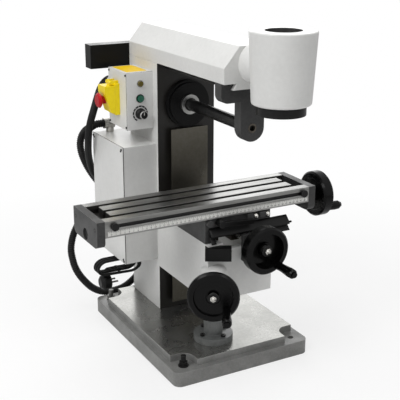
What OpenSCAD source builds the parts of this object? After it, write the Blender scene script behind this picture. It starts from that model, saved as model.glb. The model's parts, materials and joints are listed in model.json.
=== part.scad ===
// Benchtop horizontal milling machine with a swivelling vertical head.
// Frame: origin on the floor under the middle of the base, +X to the operator's right,
// +Y towards the column, +Z up. Millimetres.

/* [Base] */
// Width of the base casting
base_w = 355; // [320:1:400]
// Depth of the base casting
base_d = 467; // [450:1:520]
// Height of the rim round the base
rim_h = 35; // [25:1:40]
// Height of the raised plateau
base_h = 52; // [46:1:60]
// Radius of the upright corners
base_corner_r = 18; // [8:1:24]
// Step from the rim in to the plateau
plateau_inset = 13; // [6:1:16]
// Bolt holes in from the left and right edges
bolt_inset_x = 32.5; // [28:0.5:40]
// Bolt holes in from the front and back edges
bolt_inset_y = 29.5; // [28:0.5:36]
// Diameter of the bolt holes
bolt_hole_d = 14; // [9:0.5:18]
// Radius of the notch in the plateau round a bolt hole
bolt_notch_r = 27; // [20:1:30]
// Wall round the hollow underside
base_wall = 20; // [12:1:24]
// Side of the solid corners inside the hollow
corner_post = 44; // [36:1:60]
// Thickness of the top over the hollow
base_top_t = 22; // [14:1:26]

/* [Column] */
// Width of the column
column_w = 152; // [146:1:160]
// Depth of the column
column_d = 154; // [150:1:170]
// Height of the column above the base
column_h = 620; // [615:1:660]
// Front of the column behind the middle of the base
column_y = 52.5; // [50:0.5:60]
// Front wall of the column
column_front_t = 20; // [14:1:24]
// Side walls and top of the column
column_side_t = 12; // [8:1:14]
// Width of the vertical way at its face
way_w = 99; // [92:1:104]
// Height of the way proud of the column
way_proud = 17; // [15:0.5:18]
// Bottom of the way above the base
way_foot = 20; // [10:1:30]
// Length of the way
way_len = 444; // [430:1:452]
// Back plate of the column
back_plate_t = 3; // [2:0.5:5]

/* [Overarm] */
// Reach of the overarm in front of the column
overarm_reach = 304; // [298:1:310]
// Height of the overarm's upright sides
overarm_side_h = 33; // [28:1:40]
// Height of its sloping shoulders
overarm_roof_h = 43; // [34:1:50]
// Width of the flat top
overarm_top_w = 80; // [60:1:100]
// Height of the dovetail under the overarm
arm_tail_h = 13.4; // [11:0.2:15]
// Width across the dovetail's lower edges
arm_tail_w = 108; // [100:1:112]
// Radius of the swivel stud on the overarm's front
swivel_stud_r = 16; // [12:1:20]
// Length of the swivel stud
swivel_stud_len = 24; // [16:1:26]

/* [Horizontal spindle] */
// Height of the spindle axis above the floor
spindle_z = 573; // [570:0.5:580]
// Radius of the spindle
spindle_r = 20; // [17:0.5:22]
// Radius of the spindle's nose ring
nose_r = 23.5; // [23:0.25:26]
// Radius of the housing's flange
flange_r = 56; // [50:0.5:56]
// Thickness of the housing's flange
flange_t = 11; // [8:0.5:13]
// Outer radius of the housing's sleeve
sleeve_r = 42; // [38:0.5:44]
// Outer radius of the spindle bearings
bearing_r = 32; // [29:0.5:34]
// Width of a spindle bearing
bearing_w = 16; // [12:0.5:18]
// Radius of the arbor's collars
arbor_r = 13.5; // [12:0.25:15]
// Number of spacing collars
collar_count = 7; // [5:1:9]
// Radius of the arbor's end journal
journal_r = 6.45; // [5:0.05:7]
// Radius of the spindle's pulley
spindle_pulley_r = 40; // [34:1:42]
// Radius of the motor's pulley
motor_pulley_r = 24; // [18:1:28]
// Distance between the two pulleys
belt_centres = 165; // [150:1:180]
// Radius of the drive motor
motor_r = 48; // [40:1:54]

/* [Arbor bracket] */
// Thickness of the bracket, front to back
bracket_t = 26; // [20:0.5:26]
// Front of the overarm in front of the bracket
bracket_back = 9; // [8.5:0.5:12]
// Width of the clamping block
bracket_w = 154; // [140:1:156]
// Height of the clamping block
bracket_block_h = 41; // [36:1:44]
// Width of the arm
bracket_arm_w = 58.5; // [52:0.5:64]
// Radius of the block's lower corners
bracket_corner_r = 18; // [10:0.5:24]
// Outer radius of the bush
bush_r = 10; // [9:0.25:12]

/* [Vertical head] */
// Distance of the head's axis in front of the overarm
head_reach = 95; // [92:1:100]
// Radius at the top
head_top_r = 67.5; // [65:0.5:71]
// Radius at the bottom
head_foot_r = 60.5; // [58:0.5:64]
// Height of the casting
head_h = 144; // [138:1:150]
// Height of its bottom above the floor
head_z = 644; // [638:1:650]
// Radius of the hole in the top
head_hole_r = 37; // [34:0.5:42]
// Depth of the hole in the top
head_hole_depth = 58; // [46:1:62]
// Height of the swivel axis
swivel_z = 712; // [709:0.5:716]
// Radius of the swivel boss
swivel_boss_r = 43; // [38:0.5:48]
// Radius of the black cap under the head
cap_r = 50; // [46:0.5:54]
// Height of the cap
cap_h = 20; // [14:0.5:24]
// Radius of the vertical spindle
quill_r = 20; // [17:0.5:22]
// Radius of its tool socket
socket_r = 8.9; // [7:0.1:10]
// Depth of its tool socket
socket_depth = 45; // [35:1:60]

/* [Knee] */
// Width of the knee and the saddle
knee_w = 166; // [160:1:172]
// Length of the knee from its front to its back
knee_d = 248; // [242:1:250]
// Height of the knee
knee_h = 135; // [130:1:144]
// Bottom of the knee above the floor
knee_z = 176; // [172:1:182]
// Walls of the knee
knee_wall = 14; // [11:0.5:16]
// Gap between the knee's wings and the column
knee_gap = 9; // [7:0.5:10]
// Half width of the open channel in the knee's top
channel_half = 46; // [44:0.5:47]
// Height of the rails on the knee
rail_h = 14; // [10:0.5:15]
// Half width over the rails' upper edges
rail_half = 62; // [60:0.5:64]
// Length of the rails' gap behind the knee's front
rail_back = 20; // [19:0.5:24]
// Drop of the front wall below the knee's top
front_drop = 17; // [15:0.5:22]
// Thickness of the gib strip
gib_t = 5; // [3:0.25:6]

/* [Lifting gear] */
// Lifting screw left of the middle
lift_x = -35; // [-38:0.5:-33]
// Lifting screw in front of the base's middle
lift_y = -145.5; // [-148:0.5:-143]
// Radius of the lifting screw
lift_r = 10; // [8:0.25:12]
// Height of the crank shaft above the knee's bottom
crank_rise = 31; // [30:0.5:34]
// Angle of the crank shaft to the left of straight ahead
crank_angle = 30; // [26:1:34]
// Radius of the crank shaft
crank_r = 9; // [7:0.25:10]
// Pitch radius of the bevel pinion
pinion_r = 13; // [11:0.5:14]
// Pitch radius of the bevel wheel
bevel_r = 26; // [22:0.5:28]
// Radius of the gear turret on the knee's corner
turret_r = 30; // [28:0.5:33]
// Distance of the turret's middle from the lifting screw
turret_reach = 60; // [57:0.5:63]
// Height of the turret's straight wall
turret_h = 70; // [64:1:76]
// Radius of the pedestal's flange
pedestal_flange_r = 46; // [42:0.5:48]
// Thickness of the pedestal's flange
pedestal_flange_t = 16; // [10:0.5:20]
// Radius of the pedestal's tube
pedestal_r = 22.5; // [20:0.5:25]
// Height of the pedestal above the base
pedestal_h = 88; // [78:1:90]

/* [Saddle] */
// Length of the saddle, front to back
saddle_d = 140; // [136:1:142]
// Front of the saddle behind the knee's front
saddle_back = 12; // [11.5:0.5:15]
// Height of the saddle under the table
saddle_h = 57; // [54:0.5:60]
// Height of the saddle's upper dovetail
slide_tail_h = 11.6; // [9:0.2:12]
// Half width of the saddle's upper dovetail
slide_tail_half = 38; // [34:0.5:42]
// Length of the clamping lever
lever_len = 82; // [60:1:90]
// Cross screw right of the middle
cross_x = 29; // [26:0.5:30]
// Cross screw below the knee's top
cross_drop = 10.5; // [10:0.25:12]

/* [Table] */
// Length of the table between its end plates
table_len = 506; // [480:1:540]
// Middle of the table left of the machine's middle
table_x = -67.5; // [-80:0.5:-50]
// Width of the table
table_w = 130; // [124:1:136]
// Thickness of the table
table_t = 36.4; // [35:0.2:42]
// Front of the table in front of the saddle
table_front = 5.5; // [4:0.5:8]
// Width of a T-slot's neck
slot_w = 12; // [9:0.5:14]
// Depth of a T-slot's neck
slot_neck = 10; // [8:0.25:11]
// Width of a T-slot's foot
slot_foot_w = 20; // [17:0.5:22]
// Height of a T-slot's foot
slot_foot_h = 9; // [7:0.25:10]
// Distance between T-slots
slot_pitch = 38; // [35:0.5:40]
// Length of the chip pocket at each end
pocket_len = 26; // [18:1:34]
// Thickness of an end plate
end_t = 18; // [12:0.5:22]
// Depth of an end plate below the table's top
end_h = 58.5; // [58:0.5:64]
// Feed screw below the table
feed_drop = 7.1; // [6:0.1:7.5]
// Radius of the feed nut
feed_nut_r = 12; // [10.5:0.25:13]
// Radius of the table and cross screws
screw_r = 8; // [6:0.25:9]

/* [Handwheels] */
// Diameter of the table and cross handwheels
wheel_d = 108; // [96:1:112]
// Width of their rims
wheel_w = 28; // [22:0.5:30]
// Diameter of the lifting handwheel
lift_wheel_d = 116; // [108:1:122]
// Width of its rim
lift_wheel_w = 15; // [13:0.5:18]
// Radius of the handles from the wheel's axis
handle_r = 44; // [41:0.5:46]
// Length of a handle's grip
grip_len = 62; // [48:1:70]
// Largest radius of a grip
grip_r = 11; // [9:0.25:12]
// Radius of the dials behind the wheels
dial_r = 25; // [22:0.25:25]

/* [Electrical] */
// Width of the cabinet beside the column
cabinet_w = 88.5; // [80:0.5:96]
// Depth of the cabinet
cabinet_d = 182; // [170:1:190]
// Height of the cabinet
cabinet_h = 293; // [280:1:298]
// Bottom of the cabinet above the floor
cabinet_z = 187; // [180:1:196]
// Front of the cabinet behind the column's front
cabinet_back = 8.5; // [4:0.5:14]
// Sheet metal of the boxes
sheet_t = 2; // [1:0.25:3]
// Width of the control box
box_w = 67; // [62:0.5:72]
// Depth of the control box
box_d = 106; // [100:1:112]
// Height of the control box
box_h = 135; // [130:1:140]
// Space between the cabinet and the control box
box_gap = 35.5; // [30:0.5:40]
// Front of the control box behind the column's front
box_back = 24; // [18:0.5:30]
// Radius of the emergency stop's cap
stop_r = 18; // [14:0.5:20]
// Travel of the emergency stop
stop_travel = 4; // [3:0.5:5]
// Radius of the start button
start_r = 8; // [6:0.25:9]
// Radius of the speed knob
knob_r = 10; // [8:0.25:12]
// Width of the black cover at the back
rear_cover_w = 253; // [240:1:260]
// Height of the black cover at the back
rear_cover_h = 57; // [50:0.5:62]
// Depth of the black cover at the back
rear_cover_d = 35; // [20:0.5:40]

/* [Hoses and lead] */
// Radius of the ribbed hoses over their ribs
hose_r = 10; // [9:0.25:11]
// Depth of the ribs
rib_h = 1.4; // [0.8:0.1:2]
// Wall of a ribbed hose under its ribs
hose_wall = 2; // [1.2:0.1:3]
// Ribs on the upper hose
upper_ribs = 52; // [30:1:60]
// Ribs on the lower hose
lower_ribs = 66; // [40:1:72]
// Radius of the smooth conduit
conduit_r = 9; // [7:0.25:10]
// Radius of the mains lead
lead_r = 3.5; // [3:0.1:4]
// Loops in the lead's hank
loop_count = 3; // [2:1:3]
// Step from one loop to the next
loop_step = 9.5; // [8.5:0.1:11]
// Radius of the plug's body
plug_r = 19; // [15:0.5:21]

/* [Fits] */
// Gap on each side of a shaft that turns in a bore
run_fit = 0.05; // [0.03:0.01:0.09]
// Gap on each face of a dovetail slide
slide_fit = 0.15; // [0.1:0.01:0.25]
// Gap between bodies that pass one another
air_gap = 0.3; // [0.3:0.05:0.5]

/* [Hidden] */
$fn = 64;
tilt = tan(30);
eps = 0.01;

// Base
bolt_x = base_w / 2 - bolt_inset_x;
bolt_y = base_d / 2 - bolt_inset_y;
lift_room = 4;

// Column, overarm and spindle
col_half = column_w / 2;
col_back = column_y + column_d;
col_top = base_h + column_h;
way_face = column_y - way_proud;
way_root_half = way_w / 2 - way_proud * tilt;
way_z0 = base_h + way_foot;
arm_front = column_y - overarm_reach;
arm_eave = col_top + overarm_side_h;
arm_top = arm_eave + overarm_roof_h;
tail_half = arm_tail_w / 2;
tail_neck = tail_half - arm_tail_h * 0.65;
flange_front = column_y - flange_t;
step_t = 5.5;
step_r = flange_r - 6;
nose_front = flange_front - step_t - 6;
sleeve_end = col_back - 42;
pulley_y0 = sleeve_end + 6;
pulley_w = 26;
belt_w = 14;
belt_t = 4;
motor_z = spindle_z - belt_centres;
motor_len = 84;
motor_y0 = column_y + column_front_t;
shaft_r = 7;
rotor_in = 22;

// Bracket
bracket_y0 = arm_front + bracket_back;
bracket_y1 = bracket_y0 + bracket_t;
bracket_top = col_top - air_gap;
bush_hole = journal_r + run_fit;
arbor_nut_y = bracket_y1 + 5;
arbor_nut_t = 12;
root_r = 15.5;
shank_r = 11;
socket_y = nose_front + 60;
collar_groove = 0.8;

// Head
head_y = arm_front - head_reach;
head_top = head_z + head_h;
head_floor = head_top - head_hole_depth;
head_edge = 5;
head_lip = 3;
quill_top = head_floor + 6;
quill_foot = head_z - cap_h + 3;
quill_bearing_r = quill_r + 11;
quill_bearing_w = 15;

// Knee
knee_half = knee_w / 2;
knee_y1 = column_y - knee_gap;
knee_y0 = knee_y1 - knee_d;
knee_top = knee_z + knee_h;
front_wall_t = 16;
back_wall_t = knee_y1 - way_face + 21;
strip_t = 12;
rail_top = knee_top + rail_h;
rail_root = rail_half - rail_h * tilt;
floor_t = 10;
floor_span = 42;
crank_z = knee_z + crank_rise;
crank_dir = [-sin(crank_angle), -cos(crank_angle), 0];
bevel_gap = 0.4;
bevel_z = crank_z - pinion_r - bevel_gap;
turret_at = [lift_x, lift_y, 0] + turret_reach * crank_dir;
boss_face = turret_reach + turret_r + 3;
boss_r = 24;
lift_reach = 9.5;
lift_wheel_s = boss_face + 1.5 + lift_reach;
lift_bottom = base_h - base_top_t + 6;
nut_h = 30;
gear_cover_x0 = -19;
gear_cover_x1 = 39;
gear_cover_d = 26;
gear_cover_rise = 33;
gear_cover_drop = 3;

// Saddle and cross screw
saddle_y0 = knee_y0 + saddle_back;
saddle_y1 = saddle_y0 + saddle_d;
saddle_z0 = knee_top + air_gap;
saddle_top = saddle_z0 + saddle_h;
cross_z = knee_top - cross_drop;
cross_bracket_t = 12;
cross_dial_t = 14;
hub_reach = 15;
cross_wheel_y = knee_y0 - cross_bracket_t - cross_dial_t - hub_reach;
cross_nut_half = 15;
cross_nut_y = saddle_y0 + 52;
cross_end = knee_y1 - back_wall_t - 8;
lever_x = -51.5;
lever_z = saddle_top - 11;
lever_hub_r = 8;
lever_stem_r = 5;
lever_hub_len = 20;
lever_stem_len = 22;
lever_bore_len = lever_stem_len + 2;
lever_t = 9;
lever_h = 10;
lever_droop = 4;
clamp_x = [20, 52];
clamp_w = 14;
clamp_h = 11;
clamp_out = 10;
saddle_knob_x = -76;
saddle_knob_z = saddle_top - 8.5;
saddle_knob_r = 7;
cross_nut_len = 30;

// Way cover: its two leaves as outlines from the saddle's lower front edge, and their ends
cover_drop = 2;
cover_cut = 30;
cover_upper = [[0, 39], [-15, 24], [-7, 21], [-2.5, 21.5], [-8.5, 25], [0, 33]];
cover_lower = [[-7, 21 + eps], [-19, 4.5], [-15, 3.5], [-2.5, 21.5]];
cover_in = 7;
cover_reach = 38;
leaf_reach = 47;
hem_in = 11;
hem_reach = 52;
hem_at = [-11.5, 24.5];
hem_r = 2.6;

// Table and feed screw
table_y0 = saddle_y0 - table_front;
table_y = table_y0 + table_w / 2;
table_y1 = table_y0 + table_w;
table_z0 = saddle_top + air_gap;
table_top = table_z0 + table_t;
table_x0 = table_x - table_len / 2;
table_x1 = table_x + table_len / 2;
slot_floor = table_top - slot_neck - slot_foot_h;
slide_tail_root = slide_tail_half - slide_tail_h * tilt;
feed_z = table_z0 - feed_drop;
nut_len = 36;
groove_z = table_top - 13.3;
groove_h = 8;
groove_depth = 6;
stop_knob_r = 8.5;
stop_rod_r = 3;
stop_left = 21;
stop_right = 15;
groove_past = 5;
end_corner_r = 14;
end_recess_r = 13;
end_recess = 6;
ruler_foot = 4;
ruler_h = 10;
ruler_t = 0.8;
feed_flange_t = 10;
feed_dial_t = 13;
feed_wheel_x = table_x1 + end_t + feed_flange_t + feed_dial_t + hub_reach;
pin_r = 4;
pin_boss_r = 7.5;
pin_boss_drop = 4;
pin_head_r = 6.5;
lift_pin_angle = -48;
feed_pin_angle = -80;
cross_pin_angle = -55;
cap_screw_r = 8;

// Boxes beside the column
cab_x0 = -col_half - cabinet_w;
cab_y0 = column_y + cabinet_back;
cab_y1 = cab_y0 + cabinet_d;
cab_top = cabinet_z + cabinet_h;
box_x0 = -col_half - box_w;
box_y0 = column_y + box_back;
box_y1 = box_y0 + box_d;
box_z = cab_top + box_gap;
box_top = box_z + box_h;
panel_x = box_x0 + box_w / 2;
lamp_up = 109;
start_up = 74;
knob_up = 38;
lamp_z = box_z + lamp_up;
start_z = box_z + start_up;
knob_z = box_z + knob_up;
knob_len = 23;
skirt_len = 10;
skirt_out = 3;
knob_stem_r = 3;
knob_stem_len = 14;
switch_y = box_y0 + 61;
switch_half = 21;
switch_t = 12;
switch_foot = 31;
switch_head = 105;
switch_z0 = box_z + switch_foot;
switch_z1 = box_z + switch_head;
flap_x = box_x0 - switch_t - air_gap;
pivot_x = flap_x - 4;
pivot_z = switch_z1 + 2;
ear_r = 5;
ear_w = 6;
ear_out = 11;
ear_pin_r = 2.5;
ear_pin_half = ear_out + ear_w / 2;
knuckle_r = 4;
knuckle_half = ear_out - ear_w / 2 - 0.5;
flap_top = pivot_z - ear_r - 1.5;
flap_foot = switch_z0 + 5;
flap_nose = flap_x - 25;
flap_lip = 16;
flap_foot_t = 10;
stop_z = flap_foot + 30;
stem_r = 9;

// Hose ends
gland_len = 14;
gland_wall = 3;
upper_end = [-140, 230, cab_top + 22];
upper_foot = [-112, cab_y1, 305];
conduit_end = [-129, box_y1, box_z + 100];
conduit_foot = [-142, cab_y1, 346];
lower_end = [-122, cab_y1, 262];
lower_foot = [-40, col_back + back_plate_t, base_h + 30];
lead_end = [-106, 108, cabinet_z];

// Routes through points chosen by hand. The first and last stretches are straight.
upper_route = [
    upper_end, upper_end - [2 * hose_r, 0, 0], [-168, 241, 494], [-166, 258, 487], [-166, 276, 480],
    [-170, 288, 470], [-175, 297, 454], [-177, 300, 432], [-172, 299, 404], [-156, 296, 366],
    [-132, 290, 328], upper_foot + [0, gland_len + 2 * hose_r, 0], upper_foot + [0, gland_len, 0]
];
conduit_route = [
    conduit_end + [0, gland_len, 0], conduit_end + [0, gland_len + 2 * conduit_r, 0], [-140, 217, 607],
    [-154, 211, 592], [-166, 205, 569], [-176, 202, 544], [-183, 204, 521], [-186, 212, 495],
    [-185, 222, 469], [-179, 241, 433], [-170, 258, 403], [-159, 270, 374], [-148, 275, 355],
    conduit_foot + [0, gland_len + 2 * conduit_r, 0], conduit_foot + [0, gland_len, 0]
];
lower_route = [
    lower_end + [0, gland_len, 0], lower_end + [0, gland_len + 2 * hose_r, 0], [-140, 292, 261],
    [-178, 290, 246], [-212, 274, 214], [-230, 258, 176], [-228, 250, 137], [-218, 247, 108],
    [-200, 246, 80], [-178, 246, 56], [-150, 247, 40], [-120, 248, 36], [-88, 250, 40], [-58, 250, 58],
    lower_foot + [0, gland_len + 2 * hose_r, 0], lower_foot + [0, gland_len, 0]
];

// Course of the mains lead: down from its gland, round the hank's long loops, then down to the plug
hank_a = 52;
hank_b = 20;
hank_lean = 23;
hank_z = cabinet_z - 27;
hank_back = 14;
hank_x = lead_end[0] - hank_a;
loop_rings = 24;
function share(k, from, steps) = max(0, min(1, (k - from) / steps));
function lap_angle(k) = 90 * share(k, 0, 4) + 180 * share(k, 8, 8) + 90 * share(k, 20, 4);
function lap_shift(k) = 1 - 2 * share(k, 4, 4) + 2 * share(k, 16, 4);
hank = [for (i = [0:loop_rings * loop_count + loop_rings / 4])
    let (k = i % loop_rings, a = lap_angle(k), out = hank_b * sin(a))
    [hank_x + (hank_a - hank_b) * lap_shift(k) + hank_b * cos(a),
     lead_end[1] + hank_back * share(i, 0, 16) + loop_step * i / loop_rings + out * sin(hank_lean),
     hank_z - out * cos(hank_lean)]];
hank_last = hank[len(hank) - 1];
plug_at = hank_last - [22, 0, 16 + plug_r];
lead_curve = concat(
    [lead_end - [0, 0, gland_len], lead_end - [0, 0, gland_len + lead_r]],
    hank,
    [hank_last - [10, 0, 0.5], hank_last - [17, 0, 4],
     plug_at + [0, 0, plug_r + 6], plug_at + [0, 0, plug_r]]);
lead_gap = min([for (i = [0:len(hank) - 1], j = [i + loop_rings / 2:1:len(hank) - 1])
    norm(hank[i] - hank[j])]) - 2 * lead_r;

// Shared shapes

// Upright box between two corners
module block(from, to) {
    translate(from) cube(to - from);
}

// Upright box with round corners, centred in X and Y
module rounded_block(w, d, h, r) {
    block([-w / 2 + r, -d / 2, 0], [w / 2 - r, d / 2, h]);
    block([-w / 2, -d / 2 + r, 0], [w / 2, d / 2 - r, h]);
    for (x = [-1, 1], y = [-1, 1])
        translate([x * (w / 2 - r), y * (d / 2 - r), 0]) cylinder(r = r, h = h);
}

// Outline drawn in X and Z, carried from y0 to y1
module along_y(y0, y1) {
    translate([0, y1, 0]) rotate([90, 0, 0]) linear_extrude(y1 - y0) children();
}

// Outline drawn in Y and Z, carried from x0 to x1
module along_x(x0, x1) {
    translate([x0, 0, 0]) rotate([90, 0, 90]) linear_extrude(x1 - x0) children();
}

// Cylinder along Y from y0 to y1
module rod_y(x, z, y0, y1, r) {
    translate([x, y1, z]) rotate([90, 0, 0]) cylinder(r = r, h = y1 - y0);
}

// Cylinder along X from x0 to x1
module rod_x(y, z, x0, x1, r) {
    translate([x0, y, z]) rotate([0, 90, 0]) cylinder(r = r, h = x1 - x0);
}

// Local +Z points out to the operator, local +Y stays up
module facing(angle) {
    rotate([90, 0, angle]) children();
}

// Symmetric dovetail outline, wide at the top, standing on height z0
module tail(half, root, z0, h) {
    polygon([[-root, z0], [root, z0], [half, z0 + h], [-half, z0 + h]]);
}

// The places of the four base bolts
module at_bolts() {
    for (x = [-1, 1], y = [-1, 1]) translate([x * bolt_x, y * bolt_y, 0]) children();
}

// Dished handwheel on local +Z, its hub reaching back to the dial, with the pin of its handle
module handwheel(d, w, bore, reach, angle) {
    rim = 14;
    hub = 17;
    web_z = 2;
    web_t = 7;
    hub_z = w - hub_recess(w);
    round_r = 4;
    pin_root = web_z + web_t / 2;
    pin_end = w + grip_len + 2 * air_gap;
    difference() {
        union() {
            rotate_extrude($fn = 96) polygon([
                [0, -reach], [hub, -reach], [hub, web_z], [d / 2 - rim - 2, web_z], [d / 2 - rim, 0],
                [d / 2 - round_r, 0], [d / 2, round_r], [d / 2, w - round_r], [d / 2 - round_r, w],
                [d / 2 - rim, w], [d / 2 - rim - 2, web_z + web_t], [hub, web_z + web_t], [hub - 1, hub_z],
                [0, hub_z]
            ]);
            rotate(angle) translate([handle_r, 0, 0]) rotate_extrude() polygon([
                [0, pin_root], [pin_boss_r, pin_root], [pin_boss_r, w - pin_boss_drop],
                [pin_r, w - pin_boss_drop], [pin_r, pin_end], [pin_head_r, pin_end],
                [pin_head_r, pin_end + 3], [0, pin_end + 3]
            ]);
        }
        translate([0, 0, -reach - 1]) cylinder(r = bore, h = reach + w + 2);
    }
}

// Depth of a wheel's hub below the front of its rim
function hub_recess(w) = w / 2;

// Turned grip on the pin of a handwheel
module grip(w, angle) {
    rotate(angle) translate([handle_r, 0, w + air_gap]) difference() {
        rotate_extrude($fn = 48) polygon([
            [0, 0], [grip_r - 2.5, 0], [grip_r - 1.5, 3], [grip_r - 2, grip_len * 0.3],
            [grip_r, grip_len * 0.75], [grip_r - 0.5, grip_len - 4], [grip_r - 3, grip_len], [0, grip_len]
        ]);
        translate([0, 0, -1]) cylinder(r = pin_r + run_fit, h = grip_len + 2);
    }
}

// Smooth curve through a list of points, by the share u of the way from the first to the last
function spline(p, u) =
    let (n = len(p) - 1, s = min(floor(u * n), n - 1), t = u * n - s,
         a = p[max(s - 1, 0)], b = p[s], c = p[s + 1], d = p[min(s + 2, n)])
    0.5 * (2 * b + (c - a) * t + (2 * a - 5 * b + 4 * c - d) * t * t + (3 * b - a - 3 * c + d) * t * t * t);
function unit(v) = v / norm(v);
function heading(c, i) = unit(c[min(i + 1, len(c) - 1)] - c[max(i - 1, 0)]);
function square_to(v, t) = unit(v - (v * t) * t);

// Side vectors carried along a curve without twisting
function sides(c, first) =
    [for (i = 0, s = square_to(first, heading(c, 0)); i < len(c);
          i = i + 1, s = i < len(c) ? square_to(s, heading(c, i)) : s) s];
function ring(at, side, t, r, n) =
    let (up = cross(t, side))
    [for (k = [0:n - 1]) at + r * (cos(360 * k / n) * side + sin(360 * k / n) * up)];

// Tube of varying radius along a curve, solid or with a bore
module tube(c, radii, n, bore, first) {
    s = sides(c, first);
    m = len(c);
    outer = [for (i = [0:m - 1]) each ring(c[i], s[i], heading(c, i), radii[i], n)];
    inner = [for (i = [0:m - 1]) each ring(c[i], s[i], heading(c, i), bore, n)];
    skin = [for (i = [0:m - 2], k = [0:n - 1])
        let (a = i * n + k, b = i * n + (k + 1) % n) each [[a, a + n, b], [b, a + n, b + n]]];
    if (bore > 0) {
        lining = [for (f = skin) [f[0] + m * n, f[2] + m * n, f[1] + m * n]];
        rims = [for (e = [0, (m - 1) * n], k = [0:n - 1])
            let (a = e + k, b = e + (k + 1) % n, q = m * n)
            each (e == 0 ? [[a, b, a + q], [b, b + q, a + q]] : [[a, a + q, b], [b, a + q, b + q]])];
        polyhedron(concat(outer, inner), concat(skin, lining, rims));
    } else {
        far = (m - 1) * n;
        ends = [for (k = [1:n - 2]) each [[0, k, k + 1], [far, far + k + 1, far + k]]];
        polyhedron(outer, concat(skin, ends));
    }
}

// Course of a hose: its straight ends, with m steps along a smooth curve between them
function course(route, m) =
    let (n = len(route) - 1, inner = [for (i = [1:n - 1]) route[i]])
    concat([route[0]], [for (i = [0:m]) spline(inner, i / m)], [route[n]]);

// Ribbed hose along a route: two rings to each rib, plain at both ends
module ribbed_hose(route, ribs) {
    curve = course(route, 2 * ribs);
    last = len(curve) - 1;
    radii = [for (i = [0:last]) i < 2 || i > last - 2 || i % 2 == 1 ? hose_r - rib_h : hose_r];
    tube(curve, radii, 8, hose_r - rib_h - hose_wall, [0, 0, 1]);
}

echo(least_gap_of_lead_to_itself = lead_gap);  // mains_lead

// Frame of the machine

module base() {
    color("darkgray") difference() {
        union() {
            rounded_block(base_w, base_d, rim_h, base_corner_r);
            rounded_block(base_w - 2 * plateau_inset, base_d - 2 * plateau_inset, base_h, base_corner_r);
        }
        for (x = [-1, 1], y = [-1, 1]) scale_mirror(x, y) base_notch();
        at_bolts() translate([0, 0, -1]) cylinder(d = bolt_hole_d, h = base_h + 2);
        for (s = [0, 1]) base_hollow(
            base_w / 2 - base_wall - s * corner_post, base_d / 2 - base_wall - (1 - s) * corner_post);
        translate([lift_x, lift_y, -1]) cylinder(r = lift_r + lift_room, h = base_h + 2);
    }
}

// Hollow under the base, by half its width and half its depth
module base_hollow(x, y) {
    block([-x, -y, -1], [x, y, base_h - base_top_t]);
}

// Puts a shape into the corner that the two signs name
module scale_mirror(x, y) {
    mirror([x < 0 ? 1 : 0, 0, 0]) mirror([0, y < 0 ? 1 : 0, 0]) children();
}

// Room cut from the plateau round a bolt, out to the corner
module base_notch() {
    at = [bolt_x, bolt_y, rim_h];
    far = [base_w, base_d, base_h + 1];
    translate(at) cylinder(r = bolt_notch_r, h = base_h);
    block(at - [0, bolt_notch_r, 0], far);
    block(at - [bolt_notch_r, 0, 0], far);
}

module column() {
    color("gainsboro") difference() {
        union() {
            block([-col_half, column_y, base_h], [col_half, col_back, col_top]);
            translate([0, 0, way_z0]) linear_extrude(way_len) polygon([
                [-way_w / 2, way_face], [way_w / 2, way_face],
                [way_root_half, column_y + eps], [-way_root_half, column_y + eps]
            ]);
        }
        block(
            [-col_half + column_side_t, column_y + column_front_t, base_h - 1],
            [col_half - column_side_t, col_back + 1, col_top - column_side_t]);
        rod_y(0, spindle_z, column_y - 1, column_y + column_front_t + 1, sleeve_r);
    }
}

module column_back_plate() {
    color("dimgray") block(
        [-col_half, col_back, base_h + 8],
        [col_half, col_back + back_plate_t, col_top - rear_cover_h / 2 - 4]);
}

module overarm() {
    color("whitesmoke") {
        along_y(arm_front, col_back) polygon([
            [-col_half, col_top], [col_half, col_top], [col_half, arm_eave], [overarm_top_w / 2, arm_top],
            [-overarm_top_w / 2, arm_top], [-col_half, arm_eave]
        ]);
        along_y(arm_front, column_y) mirror([0, 1]) tail(tail_half, tail_neck, -col_top - eps, arm_tail_h);
        rod_y(0, swivel_z, arm_front - swivel_stud_len, arm_front + eps, swivel_stud_r);
    }
}

module spindle_housing() {
    seat = flange_front + 5;
    color("black") difference() {
        union() {
            rod_y(0, spindle_z, flange_front, column_y, flange_r);
            rod_y(0, spindle_z, flange_front - step_t, column_y, step_r);
            rod_y(0, spindle_z, column_y - eps, sleeve_end, sleeve_r);
        }
        rod_y(0, spindle_z, flange_front - step_t - 1, sleeve_end, nose_r + 0.5);
        rod_y(0, spindle_z, seat, sleeve_end + 1, bearing_r);
    }
}

module spindle_bearings() {
    seat = flange_front + 5;
    color("silver") for (y = [seat, sleeve_end - bearing_w - 2]) difference() {
        rod_y(0, spindle_z, y, y + bearing_w, bearing_r);
        rod_y(0, spindle_z, y - 1, y + bearing_w + 1, spindle_r + run_fit);
    }
}

module drive_motor() {
    color("dimgray") difference() {
        union() {
            rod_y(0, motor_z, motor_y0, motor_y0 + motor_len - 12, motor_r);
            rod_y(0, motor_z, motor_y0 + motor_len - 13, motor_y0 + motor_len, motor_r - 8);
        }
        rod_y(0, motor_z, motor_y0 + 20, motor_y0 + motor_len + 1, shaft_r + run_fit);
    }
}

module drive_belt() {
    y0 = pulley_y0 + (pulley_w - belt_w) / 2;
    color("black") along_y(y0, y0 + belt_w) difference() {
        belt_outline(belt_t + air_gap);
        belt_outline(air_gap);
    }
}

// Outline round both pulleys, at a distance from their faces
module belt_outline(out) {
    hull() {
        translate([0, spindle_z]) circle(r = spindle_pulley_r + out, $fn = 32);
        translate([0, motor_z]) circle(r = motor_pulley_r + out, $fn = 32);
    }
}

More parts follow.
